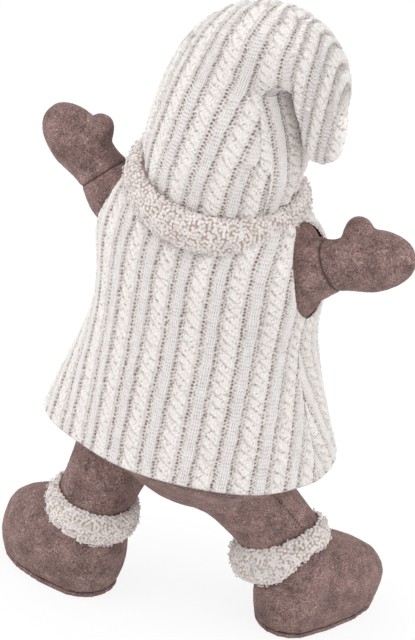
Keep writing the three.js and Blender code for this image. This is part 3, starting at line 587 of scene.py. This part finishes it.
def hat_piece(name, low, high):
    """The knitted hat between two places, with a seam at the front."""
    stations = np.linspace(low, high, HAT_STEPS)
    sections = [hat_section(p) for p in stations]
    centre, out, back = (np.array([s[k] for s in sections], float) for k in range(3))
    radius = np.array([s[3] for s in sections])
    radius = radius - BRIM_TAKE_IN * (1 - step(HAT_EDGE, 0.3, stations))
    ending = np.clip((stations - TIP_ROUND_FROM) / TIP_ROUND_LENGTH, 0, 1)
    radius = radius * np.sqrt(1 - TIP_ROUNDING * ending**2)
    if low == HAT_EDGE:
        kernel = np.hanning(25) / np.hanning(25).sum()
        centre = np.column_stack([smoothed(centre[:, k], kernel) for k in range(3)])
        radius = smoothed(radius, kernel)
    columns, _ = knit_grid(-np.pi * radius.max(), np.pi * radius.max(), 0, 1)

    angle = np.clip(columns / radius[:, None], -np.pi, np.pi)[..., None] + np.pi / 2
    ring = np.cos(angle) * out[:, None] + np.sin(angle) * back[:, None]
    lines = centre[:, None] + radius[:, None, None] * ring
    rise = np.linalg.norm(np.diff(lines, axis=0), axis=2)
    rise = np.vstack([np.zeros(len(columns)), np.cumsum(rise, axis=0)])
    counts = np.arange(len(stations))
    rows = np.linspace(0, counts[-1], math.ceil(rise.max() * ROW_STEPS / ROW))
    index = np.broadcast_to(rows[:, None], (len(rows), len(columns)))
    along = np.stack([np.interp(rows, counts, line) for line in rise.T], 1)
    radius_here = np.interp(index, counts, radius)
    outside = np.abs(columns) > np.pi * radius_here
    u = np.clip(np.broadcast_to(columns, index.shape), -np.pi * radius_here, np.pi * radius_here)
    angle = u / radius_here + np.pi / 2

    def at(table):
        return np.stack([np.interp(index, counts, table[:, k]) for k in range(3)], -1)

    axis_out, axis_back = at(out), at(back)
    outward = np.cos(angle)[..., None] * axis_out + np.sin(angle)[..., None] * axis_back
    points = at(centre) + radius_here[..., None] * outward
    spot = np.interp(index, counts, stations)
    creased = np.where(np.sin(angle) > 0, step(0.2, 0.5, spot), step(0.75, 0.95, spot))
    inner = step(0.65, 0.9, -np.cos(angle)) * creased
    sides = (inner > 0.5) | ((np.abs(np.cos(angle)) > HAT_SIDE) & (spot < 1.1))
    around = radius_here * np.where(np.cos(angle) > 0, angle, angle - np.pi)
    straight = knit_relief(*hat_pattern(points.reshape(-1, 3)), seed=51)
    bent = knit_relief(around.ravel(), along.ravel(), seed=52)
    height, shaded_pit, yarn = (np.where(sides.ravel(), b, a) for a, b in zip(straight, bent))
    seam = step(0, 4, (np.pi * radius_here - np.abs(u)).ravel())
    height = height * (0.3 + 0.7 * seam) - 1.2 * (1 - seam)
    crush = step(0.0, 9.0, (radius_here * (1 + np.cos(angle)) + CREASE_ROOM).ravel())
    fold = step(0.7, 1.0, spot.ravel())
    height = height * (1 - fold * (1 - crush))
    points = points.reshape(-1, 3) + outward.reshape(-1, 3) * height[:, None] + ORIGIN
    made = mesh_object(name, points, grid_faces(~outside)[:, ::-1])
    give(made, "yarn", yarn)
    give(made, "shaded_pit", shaded_pit)
    tidy(made)
    return made


def smoothed(values, kernel):
    """Running means, with the values carried on past both ends."""
    reach = len(kernel) // 2
    ends = np.concatenate([
        2 * values[0] - values[reach:0:-1],
        values,
        2 * values[-1] - values[-2:-reach - 2:-1],
    ])
    return np.convolve(ends, kernel, "valid")


def close_tip(obj):
    """Sews the open lower end of the hanging tip shut."""
    work = bmesh.new()
    work.from_mesh(obj.data)
    rim = [e for e in work.edges if e.is_boundary]
    low = min(v.co.z for e in rim for v in e.verts)
    rim = [e for e in rim if max(v.co.z for v in e.verts) < low + TIP_RIM * MM]
    bmesh.ops.holes_fill(work, edges=rim, sides=0)
    bmesh.ops.triangulate(work, faces=[f for f in work.faces if len(f.verts) > 4])
    work.to_mesh(obj.data)
    work.free()


# Looped plush

def tree_of(points):
    tree = KDTree(len(points))
    for i, p in enumerate(points):
        tree.insert(p, i)
    tree.balance()
    return tree


def scattered(obj, spacing, seed, wanted):
    """Points and normals spread over a mesh at about a spacing, where wanted says so."""
    points, outward = coordinates(obj), normals(obj)
    corners = []
    for p in obj.data.polygons:
        ring = list(p.vertices)
        corners += [(ring[0], ring[k], ring[k + 1]) for k in range(1, len(ring) - 1)]
    corners = np.array(corners)
    a, b, c = (points[corners[:, k]] for k in range(3))
    area = np.linalg.norm(np.cross(b - a, c - a), axis=1) / 2
    rng = np.random.default_rng(seed)
    count = int(TRIES_PER_BUMP * area.sum() / spacing**2)
    chosen = rng.choice(len(area), count, p=area / area.sum())
    s, t = rng.random((2, count))
    over = s + t > 1
    s[over], t[over] = 1 - s[over], 1 - t[over]
    weights = np.column_stack([1 - s - t, s, t])
    found = (weights[:, :, None] * points[corners[chosen]]).sum(1)
    facing = (weights[:, :, None] * outward[corners[chosen]]).sum(1)
    facing /= np.linalg.norm(facing, axis=1, keepdims=True)
    keep = wanted(found, facing)
    found, facing = found[keep], facing[keep]
    tree = tree_of(found)
    taken, dropped = np.zeros((2, len(found)), bool)
    for i, p in enumerate(found):
        if dropped[i]:
            continue
        taken[i] = True
        for _, other, _ in tree.find_range(p, BUMP_CLOSEST * spacing):
            dropped[other] = True
    return found[taken], facing[taken]


def curls(name, points, facing, size, yarn, seed, segments):
    """A loop of yarn at each point, standing out of the cloth."""
    rng = np.random.default_rng(seed)
    count = len(points)
    random = rng.normal(size=(count, 3))
    tangent = np.cross(facing, random)
    tangent /= np.linalg.norm(tangent, axis=1, keepdims=True)
    side = np.cross(facing, tangent)
    tip = rng.normal(0, 0.55, count)
    up = np.cos(tip)[:, None] * facing + np.sin(tip)[:, None] * side
    radius = size / 2 * rng.uniform(0.75, 1.2, count)
    start = rng.uniform(-0.5, 0.5, count) - 0.35 * np.pi
    sweep = rng.uniform(1.35, 1.75, count) * np.pi
    share = np.linspace(0, 1, segments + 1)
    angle = start[:, None] + sweep[:, None] * share
    lift = np.cross(tangent, up)
    drift = rng.uniform(-0.5, 0.5, count)[:, None] * (share - 0.5) * size
    middle = points + up * (radius * rng.uniform(0.2, 0.7, count))[:, None]
    ray = np.cos(angle)[..., None] * tangent[:, None] + np.sin(angle)[..., None] * up[:, None]
    path = middle[:, None] + radius[:, None, None] * ray + drift[..., None] * lift[:, None]
    thick = yarn / 2 * (0.75 + 0.35 * np.sin(np.pi * share))[None, :, None]
    quarters = np.arange(4) * np.pi / 2
    rings = [path + thick * (math.cos(q) * ray + math.sin(q) * lift[:, None]) for q in quarters]
    shell = np.stack(rings, 2)
    end = segments * 4
    base = np.vstack([tube_faces((segments + 1, 4)), (0, 1, 2, 3), (end + 3, end + 2, end + 1, end)])
    faces = (base[None] + (np.arange(count) * (end + 4))[:, None, None]).reshape(-1, 4)
    made = mesh_object(name, shell.reshape(-1, 3), faces)
    depth = (shell - points[:, None, None]) * facing[:, None, None]
    # how far out each loop stands, which the material reads to paint shade near the cloth
    give(made, "out", np.clip(0.35 + depth.sum(-1) / size, 0, 1).ravel())
    return made


def joined(name, *objects):
    """Several meshes as one piece."""
    bpy.ops.object.select_all(action="DESELECT")
    for o in objects:
        o.select_set(True)
    bpy.context.view_layer.objects.active = objects[0]
    bpy.ops.object.join()
    objects[0].name = name
    return objects[0]


def plush(name, backing, spacing, seed, wanted):
    """A looped-plush piece: popcorn bumps all over its cloth, with loose curls of yarn among them."""
    points, outward = coordinates(backing), normals(backing)
    tops, facing = scattered(backing, spacing, seed, wanted)
    rng = np.random.default_rng(seed + 1)
    size = rng.uniform(0.8, 1.1, len(tops))
    tree = tree_of(tops)
    nearest = [tree.find(p)[1:] for p in points]
    owner = np.array([n[0] for n in nearest])
    away = np.array([n[1] for n in nearest])
    knob = np.sqrt(np.clip(1 - (away / (BUMP_REACH * spacing)) ** 2, 0, 1)) * size[owner]
    rough = 0.2 * noise(points, 0.9, seed)
    place(backing, points + outward * (BUMP_HEIGHT * spacing * knob + rough - 0.5)[:, None])
    # how far out of the cloth each point stands, which the material reads to paint shade low between
    # bumps
    give(backing, "out", knob)
    some = rng.random(len(tops)) < LOOSE_LOOPS
    lifted = tops[some] + facing[some] * (0.25 * spacing * size[some])[:, None]
    loops = curls(name + "_loops", lifted, facing[some], size=0.85 * spacing, yarn=0.3 * spacing,
                  seed=seed + 2, segments=6)
    return joined(name, backing, loops)


def facing_out(middle, least):
    """Picks a ring's points whose cloth looks away from its middle, by at least so much."""
    return lambda points, outward: ((points - middle) * outward)[:, :2].sum(1) > least


# Materials

def new_material(name):
    made = bpy.data.materials.new(name)
    made.use_nodes = True
    return made, made.node_tree


def wire(tree, socket, value):
    """Links an output, or sets a plain number or colour."""
    if hasattr(value, "is_output"):
        tree.links.new(value, socket)
    elif isinstance(value, tuple):
        socket.default_value = (*value, 1)
    else:
        socket.default_value = value


def grain(tree, scale, detail=3, roughness=0.6, distortion=0.0):
    """Noise on object coordinates."""
    places = tree.nodes.new("ShaderNodeTexCoord")
    made = tree.nodes.new("ShaderNodeTexNoise")
    settings = {"Scale": scale, "Detail": detail, "Roughness": roughness, "Distortion": distortion}
    for name, value in settings.items():
        made.inputs[name].default_value = value
    tree.links.new(places.outputs["Object"], made.inputs["Vector"])
    return made.outputs["Fac"]


def attribute(tree, name):
    made = tree.nodes.new("ShaderNodeAttribute")
    made.attribute_name = name
    return made.outputs["Fac"]


def mixed(tree, factor, first, second, blend="MIX"):
    """A mix of two colours, each a colour or an output."""
    made = tree.nodes.new("ShaderNodeMix")
    made.data_type = "RGBA"
    made.blend_type = blend
    wire(tree, made.inputs["Factor"], factor)
    wire(tree, made.inputs[6], first)
    wire(tree, made.inputs[7], second)
    return made.outputs[2]


def ramp(tree, source, *stops):
    """Colours by a number from 0 to 1. A stop's colour is a colour, or one number for a grey."""
    made = tree.nodes.new("ShaderNodeValToRGB")
    elements = made.color_ramp.elements
    while len(elements) < len(stops):
        elements.new(0.5)
    for element, (where, colour) in zip(elements, stops):
        element.position = where
        element.color = (*(colour if isinstance(colour, tuple) else (colour,) * 3), 1)
    tree.links.new(source, made.inputs["Fac"])
    return made.outputs["Color"]


def toned(tree, share, colour, source, *stops):
    """A colour multiplied by a ramp, as far as share says."""
    return mixed(tree, share, colour, ramp(tree, source, *stops), "MULTIPLY")


def math_node(tree, operation, *values):
    made = tree.nodes.new("ShaderNodeMath")
    made.operation = operation
    for socket, value in zip(made.inputs, values):
        wire(tree, socket, value)
    return made.outputs[0]


def surface(tree, colour, height, strength, distance, **settings):
    """Joins a colour and a relief to the shader, and sets its own sockets, with _ for a space."""
    shader = tree.nodes["Principled BSDF"]
    tree.links.new(colour, shader.inputs["Base Color"])
    for name, value in settings.items():
        wire(tree, shader.inputs[name.replace("_", " ")], value)
    relief = tree.nodes.new("ShaderNodeBump")
    relief.inputs["Strength"].default_value = strength
    relief.inputs["Distance"].default_value = distance
    tree.links.new(height, relief.inputs["Height"])
    tree.links.new(relief.outputs["Normal"], shader.inputs["Normal"])


def felt_material(name, dark, middle, light):
    """Heathered felt: a mid brown with darker and paler fibres, and a darker line in seams."""
    made, tree = new_material(name)
    fibre = grain(tree, scale=420, detail=7, roughness=0.72, distortion=2.2)
    cloud = grain(tree, scale=70, detail=4)
    speck = grain(tree, scale=1500)
    strand = grain(tree, scale=240, detail=2, roughness=0.5, distortion=5)
    heather = ramp(tree, fibre, (0.36, dark), (0.50, middle), (0.66, light))
    clouded = toned(tree, 0.8, heather, cloud, (0.35, 0.58), (0.65, 1.28))
    flecked = toned(tree, 0.7, clouded, speck, (0.35, 0.6), (0.65, 1.4))
    hairs = ramp(tree, strand, (0.46, 0), (0.49, 1), (0.52, 0))
    haired = mixed(tree, math_node(tree, "MULTIPLY", hairs, 0.4), flecked, light)
    colour = mixed(tree, attribute(tree, "seam"), haired, tuple(0.35 * c for c in dark))
    surface(tree, colour, math_node(tree, "ADD", fibre, speck), strength=0.5, distance=0.0006,
            Roughness=0.95, Sheen_Weight=0.35, Sheen_Tint=light, **CLOTH)
    return made


def knit_material():
    """Cream yarn with painted shade in the groove between strands, and warm brown painted shade deep in
    the pits.
    """
    made, tree = new_material("cream_knit")
    fuzz = grain(tree, scale=1500, detail=4, roughness=0.65)
    patch = grain(tree, scale=70)
    cream = toned(tree, 1.0, KNIT_CREAM, patch, (0.3, (0.94, 0.93, 0.925)), (0.7, 1.0))
    turns = math_node(tree, "MULTIPLY", attribute(tree, "yarn"), 2 * math.pi)
    strand = math_node(tree, "SINE", turns)
    rise = math_node(tree, "MULTIPLY_ADD", strand, 0.5, 0.5)
    # painted shade, darker and warmer in the grooves between strands
    groove_shaded = toned(tree, 0.75, cream, rise, (0.0, KNIT_GROOVE_SHADE), (0.45, 1.0))
    yarn = toned(tree, 0.6, groove_shaded, fuzz, (0.3, (0.80, 0.77, 0.75)), (0.55, 1.0))
    # painted shade: warm brown deep in the holes and gaps of the knit
    colour = mixed(tree, attribute(tree, "shaded_pit"), yarn, KNIT_PIT_SHADE)
    height = math_node(tree, "ADD", math_node(tree, "MULTIPLY", strand, 0.45), fuzz)
    surface(tree, colour, height, strength=0.6, distance=0.0006,
            Roughness=0.9, Sheen_Weight=0.25, Sheen_Tint=(0.9, 0.88, 0.86), **CLOTH)
    return made


def boucle_material():
    """Cream loops, with painted shade low in the backing between bumps and at the loops' roots, paler
    at their tips.
    """
    made, tree = new_material("cream_boucle")
    fuzz = grain(tree, scale=1300, detail=4, roughness=0.65)
    patch = grain(tree, scale=130)
    # painted shade low between bumps, cream at their tops
    depth = ramp(tree, attribute(tree, "out"), (0.15, BOUCLE_GAP_SHADE), (0.8, BOUCLE_CREAM))
    patched = toned(tree, 1.0, depth, patch, (0.3, (0.88, 0.86, 0.85)), (0.65, 1.0))
    colour = toned(tree, 0.7, patched, fuzz, (0.3, (0.8, 0.78, 0.76)), (0.55, 1.0))
    surface(tree, colour, fuzz, strength=0.4, distance=0.0005,
            Roughness=0.95, Sheen_Weight=0.3, Sheen_Tint=(0.9, 0.86, 0.83), **CLOTH)
    return made


def skin_material():
    """Brushed jersey with a blush on the cheeks and the nose."""
    made, tree = new_material("skin_jersey")
    fuzz = grain(tree, scale=1600)
    warm = mixed(tree, attribute(tree, "blush"), SKIN_TONE, BLUSH_TONE)
    colour = toned(tree, 1.0, warm, fuzz, (0.3, 0.85), (0.65, 1.06))
    surface(tree, colour, fuzz, strength=0.3, distance=0.0004,
            Roughness=0.9, Sheen_Weight=0.25, Sheen_Tint=(0.9, 0.75, 0.68), **CLOTH)
    return made


def plain_material(name, colour, roughness, metallic=0.0):
    """A hard or hidden surface with a fine grain."""
    made, tree = new_material(name)
    fine = grain(tree, scale=900)
    shaded = toned(tree, 1.0, colour, fine, (0.3, 0.85), (0.7, 1.0))
    surface(tree, shaded, fine, strength=0.1, distance=0.0002, Roughness=roughness, Metallic=metallic)
    return made


def dress(obj, material, body, slot, *nodes, fill=None):
    """Gives a piece its material and its body, and hides the solids that it stands for; the slot and
    the filling are not used.
    """
    obj.data.materials.append(material)
    if body:
        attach(obj, body)
    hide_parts(*nodes)


# Stage

def camera():
    azimuth, elevation, roll = (math.radians(a) for a in (AZIMUTH, ELEVATION, ROLL))
    level = math.cos(elevation)
    back = Vector((math.sin(azimuth) * level, -math.cos(azimuth) * level, math.sin(elevation)))
    right = Vector((0, 0, 1)).cross(back).normalized()
    up = back.cross(right)
    turned_right = math.cos(roll) * right + math.sin(roll) * up
    turned_up = math.cos(roll) * up - math.sin(roll) * right
    pixel = DISTANCE / FOCAL_PIXELS
    off = AIM_PIXELS[0] * turned_right + AIM_PIXELS[1] * turned_up
    aim = Vector((0, 0, AIM_HEIGHT)) - pixel * off
    data = bpy.data.cameras.new("camera")
    data.sensor_width = SENSOR
    data.lens = SENSOR * FOCAL_PIXELS / IMAGE_HEIGHT
    made = bpy.data.objects.new("camera", data)
    scene.collection.objects.link(made)
    basis = Matrix((turned_right, turned_up, back)).transposed().to_4x4()
    made.matrix_world = Matrix.Translation(aim + DISTANCE * back) @ basis
    bpy.context.scene.camera = made
    return back, turned_right, turned_up


def studio(*axes):
    """White floor, even soft light, and a key from the upper left of the picture."""
    for name, (strength, angle, shares) in SUNS.items():
        data = bpy.data.lights.new(name, "SUN")
        data.energy = strength
        data.angle = math.radians(angle)
        direction = sum((axis * share for axis, share in zip(axes, shares)), Vector()).normalized()
        made = bpy.data.objects.new(name, data)
        made.rotation_mode = "QUATERNION"
        made.rotation_quaternion = direction.to_track_quat("Z", "Y")
        scene.collection.objects.link(made)
    world = bpy.data.worlds.new("studio")
    scene.world = world
    world.use_nodes = True
    sky = world.node_tree.nodes["Background"]
    sky.inputs["Color"].default_value = (1, 1, 1, 1)
    sky.inputs["Strength"].default_value = SKY_LIGHT
    bpy.ops.mesh.primitive_plane_add(size=FLOOR_SIZE, location=(0, 0, -FLOOR_DROP))
    floor = bpy.context.object
    floor.name = "floor"
    made, tree = new_material("floor_white")
    shader = tree.nodes["Principled BSDF"]
    shader.inputs["Base Color"].default_value = (FLOOR_GREY, FLOOR_GREY, FLOOR_GREY, 1)
    shader.inputs["Roughness"].default_value = 0.9
    glow = tree.nodes.new("ShaderNodeEmission")
    glow.inputs["Strength"].default_value = 1.0
    ray = tree.nodes.new("ShaderNodeLightPath").outputs
    mirrored = math_node(tree, "MAXIMUM", ray["Is Glossy Ray"], ray["Is Transmission Ray"])
    direct = math_node(tree, "MAXIMUM", ray["Is Camera Ray"], mirrored)
    blend = tree.nodes.new("ShaderNodeMixShader")
    tree.links.new(math_node(tree, "MULTIPLY", direct, FLOOR_GLOW), blend.inputs["Fac"])
    tree.links.new(shader.outputs["BSDF"], blend.inputs[1])
    tree.links.new(glow.outputs["Emission"], blend.inputs[2])
    tree.links.new(blend.outputs["Shader"], tree.nodes["Material Output"].inputs["Surface"])
    floor.data.materials.append(made)


scene.view_settings.view_transform = "Standard"
studio(*camera())

felt = felt_material("brown_felt", FELT_DARK, FELT_MID, FELT_LIGHT)
# a darker copy of the felt, painted shade for the body seen in the armholes
dark_felt = felt_material("dark_felt", TORSO_SHADED_DARK, TORSO_SHADED_MID, TORSO_SHADED_LIGHT)
knit = knit_material()
boucle = boucle_material()
skin = skin_material()
bead = plain_material("black_bead", BEAD_BLACK, roughness=0.18)
steel = plain_material("steel_wire", STEEL_GREY, roughness=0.38, metallic=1.0)
cotton = plain_material("cotton_pouch", COTTON_BEIGE, roughness=0.95)
fibre_fill = plain_material("fibre_filling", FIBRE_WHITE, roughness=1.0)


def vest():
    for name, front in (("vest_back", False), ("vest_front", True)):
        panel, size, area = vest_panel("knit_" + name, front)
        dress(panel, knit, "body", "knit", name)


def hat():
    cone = hat_piece("knit_hat", HAT_EDGE, TIP_PLACE)
    dress(cone, knit, "body", "knit", "hat", fill=0.6)
    tip = hat_piece("knit_hat_end", TIP_PLACE, 3)
    close_tip(tip)
    dress(tip, knit, None, "knit", "hat_tip", fill=0.3)
    centre, out, back, _ = hat_section(TIP_PLACE)
    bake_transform(tip)


def axis_of(node, start):
    """Direction of a straight wire, away from a point at its root."""
    points = coordinates(frame["nodes"][node])
    way = np.linalg.svd(points - points.mean(0), full_matrices=False)[2][0]
    return way * np.sign((points.mean(0) - start) @ way)


def middle_of(node):
    low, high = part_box(node)
    return np.array([*(low + high) / 2]) / MM


def unsewn(obj):
    """Says that a felt piece shows no seam."""
    give(obj, "seam", np.zeros(len(obj.data.vertices)))


def sewn(obj, distance, width, depth):
    """Sinks a seam where the distance to its line, in millimetres for each vertex, is small."""
    line = np.exp(-((distance / width) ** 2))
    place(obj, coordinates(obj) - normals(obj) * (depth * line)[:, None])
    return 0.85 * np.exp(-((distance / (0.6 * width)) ** 2))


def arms():
    for seed, side in enumerate(SIDES):
        root = JOINTS[side + "_shoulder"] / MM
        way = axis_of(side + "_arm_wire", root)
        nodes = [side + n for n in ("_arm", "_mitten", "_arm_wire")]
        piece = soft_form(side + "_felt_arm", nodes, voxel=1.6, rounds=14, levels=1)
        points = coordinates(piece)
        along = (points - root) @ way
        facing = normals(piece)
        under = np.maximum(np.clip(-facing[:, 2], 0, 1), np.abs(facing[:, 1]))
        stuffed = SHOULDER_PAD * band(SHOULDER_PAD_SPAN, along) * (0.1 + 0.9 * under)
        place(piece, points + facing * stuffed[:, None])
        felt_surface(piece, lumps=0.6, seed=3 + 7 * seed)
        around = points - root - along[:, None] * way
        slant = WRIST_SEAM_SLANT * around[:, 2]
        give(piece, "seam", sewn(piece, along - WRIST_SEAM - slant, width=1.3, depth=1.0))
        dress(piece, felt, side + "_arm", "felt", side + "_arm", side + "_mitten", fill=0.8)


def trousers():
    nodes = ["trouser_seat", "hip_wire"] + [s + n for s in SIDES for n in ("_leg", "_leg_wire")]
    hips = {side: JOINTS[side + "_hip"] for side in SIDES}
    middle = (hips["left"] + hips["right"]) / 2
    whole = soft_form("trousers", nodes, voxel=1.6, rounds=22, levels=1)
    felt_surface(whole, lumps=0.7, seed=40)
    points = coordinates(whole)
    seams = np.zeros(len(points))
    for side, sign in zip(SIDES, (1, -1)):
        hip = hips[side] / MM
        way = axis_of(side + "_leg_wire", hip)
        outer = np.array([sign, 0, 0]) - sign * way[0] * way
        outer /= np.linalg.norm(outer)
        near = (points - hip) @ outer > LEG_SEAM_OUT
        off = np.where(near, np.abs((points - hip) @ np.cross(way, outer)), np.inf)
        dash = step(0.3, 0.6, pulse(((points - hip) @ way) / STITCH_PITCH))
        seams = np.maximum(seams, dash * sewn(whole, off, width=1.4, depth=0.7))
        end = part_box(side + "_leg")[0].z / MM
        own = sign * (points[:, 0] - middle[0] / MM) > 0
        low = (1 - step(end, end + LEG_TUCK_SPAN, points[:, 2])) * own
        place(whole, coordinates(whole) + LEG_TUCK * low[:, None] * way)
    give(whole, "seam", seams)
    for side, sign in zip(SIDES, (1, -1)):
        half = whole.copy()
        half.data = whole.data.copy()
        half.name = side + "_trouser"
        scene.collection.objects.link(half)
        work = bmesh.new()
        work.from_mesh(half.data)
        everything = work.verts[:] + work.edges[:] + work.faces[:]
        cut = bmesh.ops.bisect_plane(
            work, geom=everything, plane_co=middle, plane_no=(-sign, 0, 0), clear_outer=True)
        rim = [e for e in cut["geom_cut"] if isinstance(e, bmesh.types.BMEdge)]
        bmesh.ops.triangle_fill(work, edges=rim, use_beauty=True)
        work.to_mesh(half.data)
        work.free()
        replaced = [side + "_leg"] + (["trouser_seat"] if side == "left" else [])
        dress(half, felt, None, "felt", *replaced, fill=0.7)
        down = middle_of(side + "_boot_weight") * MM - hips[side]
        start, end = (tuple(hips[side] + far * down / np.linalg.norm(down)) for far in LEG_BLEND)
        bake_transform(half)
    bpy.data.objects.remove(whole)


def drawn_in(obj, way, amount, length):
    """Shortens a piece at its far end in one direction, softly."""
    points = coordinates(obj)
    far = points @ way
    share = np.clip((far - far.max() + length) / length, 0, 1) ** 2
    place(obj, points - amount * share[:, None] * way)


def turned_down(obj, middle, amount):
    """Lets a cuff down at its lower edge, where it spreads over the boot."""
    points = coordinates(obj)
    off = points - middle
    share = 1 - step(*CUFF_EDGE, off[:, 2])
    off[:, 2] = 0
    off /= np.maximum(np.linalg.norm(off, axis=1, keepdims=True), 1e-6)
    place(obj, points + (amount * share)[:, None] * (CUFF_SPREAD * off - np.array([0, 0, 1])))


def boots():
    azimuth = math.radians(AZIMUTH)
    picture_left = np.array([-math.cos(azimuth), -math.sin(azimuth), 0])
    for seed, side in enumerate(SIDES):
        body = side + "_leg"
        nodes = [side + "_boot", side + "_boot_weight"]
        boot = soft_form(side + "_felt_boot", nodes, voxel=1.8, rounds=12, levels=1)
        drawn_in(boot, picture_left, *BOOT_GIVE[side])
        felt_surface(boot, lumps=0.6, seed=60 + 5 * seed)
        unsewn(boot)
        dress(boot, felt, body, "felt", side + "_boot", fill=0.9)
        sole = soft_form(side + "_felt_sole", [side + "_sole"], voxel=0.9, rounds=3)
        drawn_in(sole, picture_left, *BOOT_GIVE[side])
        unsewn(sole)
        dress(sole, felt, body, "dark_felt", side + "_sole")
        name = side + "_plush_cuff"
        middle = middle_of(side + "_boot_cuff")
        cloth = soft_form(name, [side + "_boot_cuff"], voxel=1.5, rounds=10, levels=1)
        turned_down(cloth, middle, CUFF_DROP[side])
        cuff = plush(name, cloth, spacing=2.4, seed=80 + 5 * seed, wanted=facing_out(middle, -4))
        dress(cuff, boucle, body, "boucle", side + "_boot_cuff", fill=0.6)


def collar_roll():
    """The collar's cloth: a soft roll round the neck, lower at the back and open at the face."""
    turn = np.radians(np.linspace(-COLLAR_END, COLLAR_END, COLLAR_STEPS))
    section = np.linspace(0, 2 * np.pi, COLLAR_STEPS // 5, endpoint=False)
    left = COLLAR_END - np.abs(np.degrees(turn))
    taper = left / COLLAR_TAPER
    thick = np.sqrt(np.clip(taper, 1e-4, 1) * (2 - np.clip(taper, 0, 1)))[:, None]
    radial = COLLAR_RADIUS + thick * COLLAR_HALF_THICKNESS * np.cos(section)
    x = np.sin(turn)[:, None] * radial
    y = np.cos(turn)[:, None] * radial
    sink = COLLAR_SINK * step(COLLAR_SINK_FROM, COLLAR_END, COLLAR_END - left)
    z = thick * COLLAR_HALF_HEIGHT * np.sin(section) - sink[:, None]
    tilt = math.radians(COLLAR_TILT)
    level = y * math.cos(tilt) + z * math.sin(tilt)
    aside = x * math.tan(math.radians(COLLAR_SIDE_TILT))
    height = COLLAR_Z - y * math.sin(tilt) + z * math.cos(tilt) + aside
    points = np.stack([x + lean_at(COLLAR_Z) + COLLAR_SIDE, level, height], -1).reshape(-1, 3)
    faces = np.roll(tube_faces(x.shape)[:, ::-1], 1, 1)
    made = mesh_object("plush_collar", points + ORIGIN, faces)
    tidy(made, distance=0.2)
    return made


def collar():
    middle = np.array([lean_at(COLLAR_Z) + COLLAR_SIDE, 0, 0]) + ORIGIN
    wanted = facing_out(middle, -8)
    piece = plush("plush_collar", collar_roll(), spacing=2.5, seed=100, wanted=wanted)
    dress(piece, boucle, "body", "boucle", "collar", fill=0.6)


def torso():
    """The stuffed body: a closed form that fills the vest and swells in its armholes."""
    levels = np.linspace(TORSO_LOW, VEST_TOP_Z, TORSO_LEVELS)
    half_width, half_depth = (size - TORSO_ROOM for size in vest_at(levels))
    upper = np.sqrt(np.clip((VEST_TOP_Z - levels) / TORSO_TOP_ROUND, 0, 1))
    lower = np.sqrt(np.clip((levels - TORSO_LOW) / TORSO_LOW_ROUND, 0, 1))
    closing = upper * lower
    turn = np.linspace(0, 2 * np.pi, TORSO_STEPS, endpoint=False)
    near = 1 - step(*SWELL_FADE, np.abs(levels - ARMHOLE_Z))
    swell = ARMHOLE_SWELL * np.outer(near, step(*SWELL_SIDES, np.abs(np.sin(turn))))
    x = np.outer(half_width * closing, np.sin(turn)) + swell * np.sign(np.sin(turn))
    x = lean_at(levels)[:, None] + x
    y = np.outer(half_depth * closing, np.cos(turn))
    z = np.broadcast_to(levels[:, None], x.shape)
    points = np.stack([x, y, z], -1).reshape(-1, 3)
    piece = mesh_object("felt_torso", points + ORIGIN, tube_faces(x.shape))
    tidy(piece, distance=0.01)
    felt_surface(piece, lumps=0.4, seed=120)
    unsewn(piece)
    # its felt is darkened as painted shade, for the shadow in the armholes
    dress(piece, dark_felt, "body", "dark_felt", "torso", fill=0.9)


def head():
    face = soft_form("jersey_head", ["head"], voxel=1.6, rounds=10)
    points = coordinates(face)
    blush = np.zeros(len(points))
    for sign in (-1, 1):
        cheek = middle_of("nose") + np.array([sign, 1, 1]) * CHEEK
        away = np.linalg.norm(points - cheek, axis=1) / CHEEK_SPREAD
        blush = np.maximum(blush, CHEEK_BLUSH * np.exp(-(away**2)))
    give(face, "blush", blush)
    dress(face, skin, "body", "skin", "head", fill=0.9)
    nose = soft_form("jersey_nose", ["nose"], voxel=0.8, rounds=6)
    give(nose, "blush", np.full(len(nose.data.vertices), NOSE_BLUSH))
    dress(nose, skin, "body", "skin", "nose", fill=1.0)
    for side in SIDES:
        eye = soft_form(side + "_bead_eye", [side + "_eye"], voxel=0.4, rounds=6)
        dress(eye, bead, "body", "bead", side + "_eye")
    for node, spacing in (("beard", 3.2), ("moustache", 2.8)):
        cloth = soft_form("plush_" + node, [node], voxel=1.5, rounds=10, levels=1)
        piece = plush("plush_" + node, cloth, spacing, seed=130, wanted=lambda p, n: n[:, 1] < 0.55)
        dress(piece, boucle, "body", "boucle", node, fill=0.6)


def hidden():
    """Finishes for the wires, pouches and filling inside."""
    wires = ["shoulder_wire", "hip_wire"] + [s + n for s in SIDES for n in ("_arm_wire", "_leg_wire")]
    pouches = [side + "_boot_weight" for side in SIDES]
    for material, nodes in ((steel, wires), (cotton, pouches), (fibre_fill, ["hat_stuffing"])):
        for node in nodes:
            finishes = frame["nodes"][node].data.materials
            finishes.clear()
            finishes.append(material)


vest()
hat()
torso()
arms()
trousers()
boots()
collar()
head()
hidden()
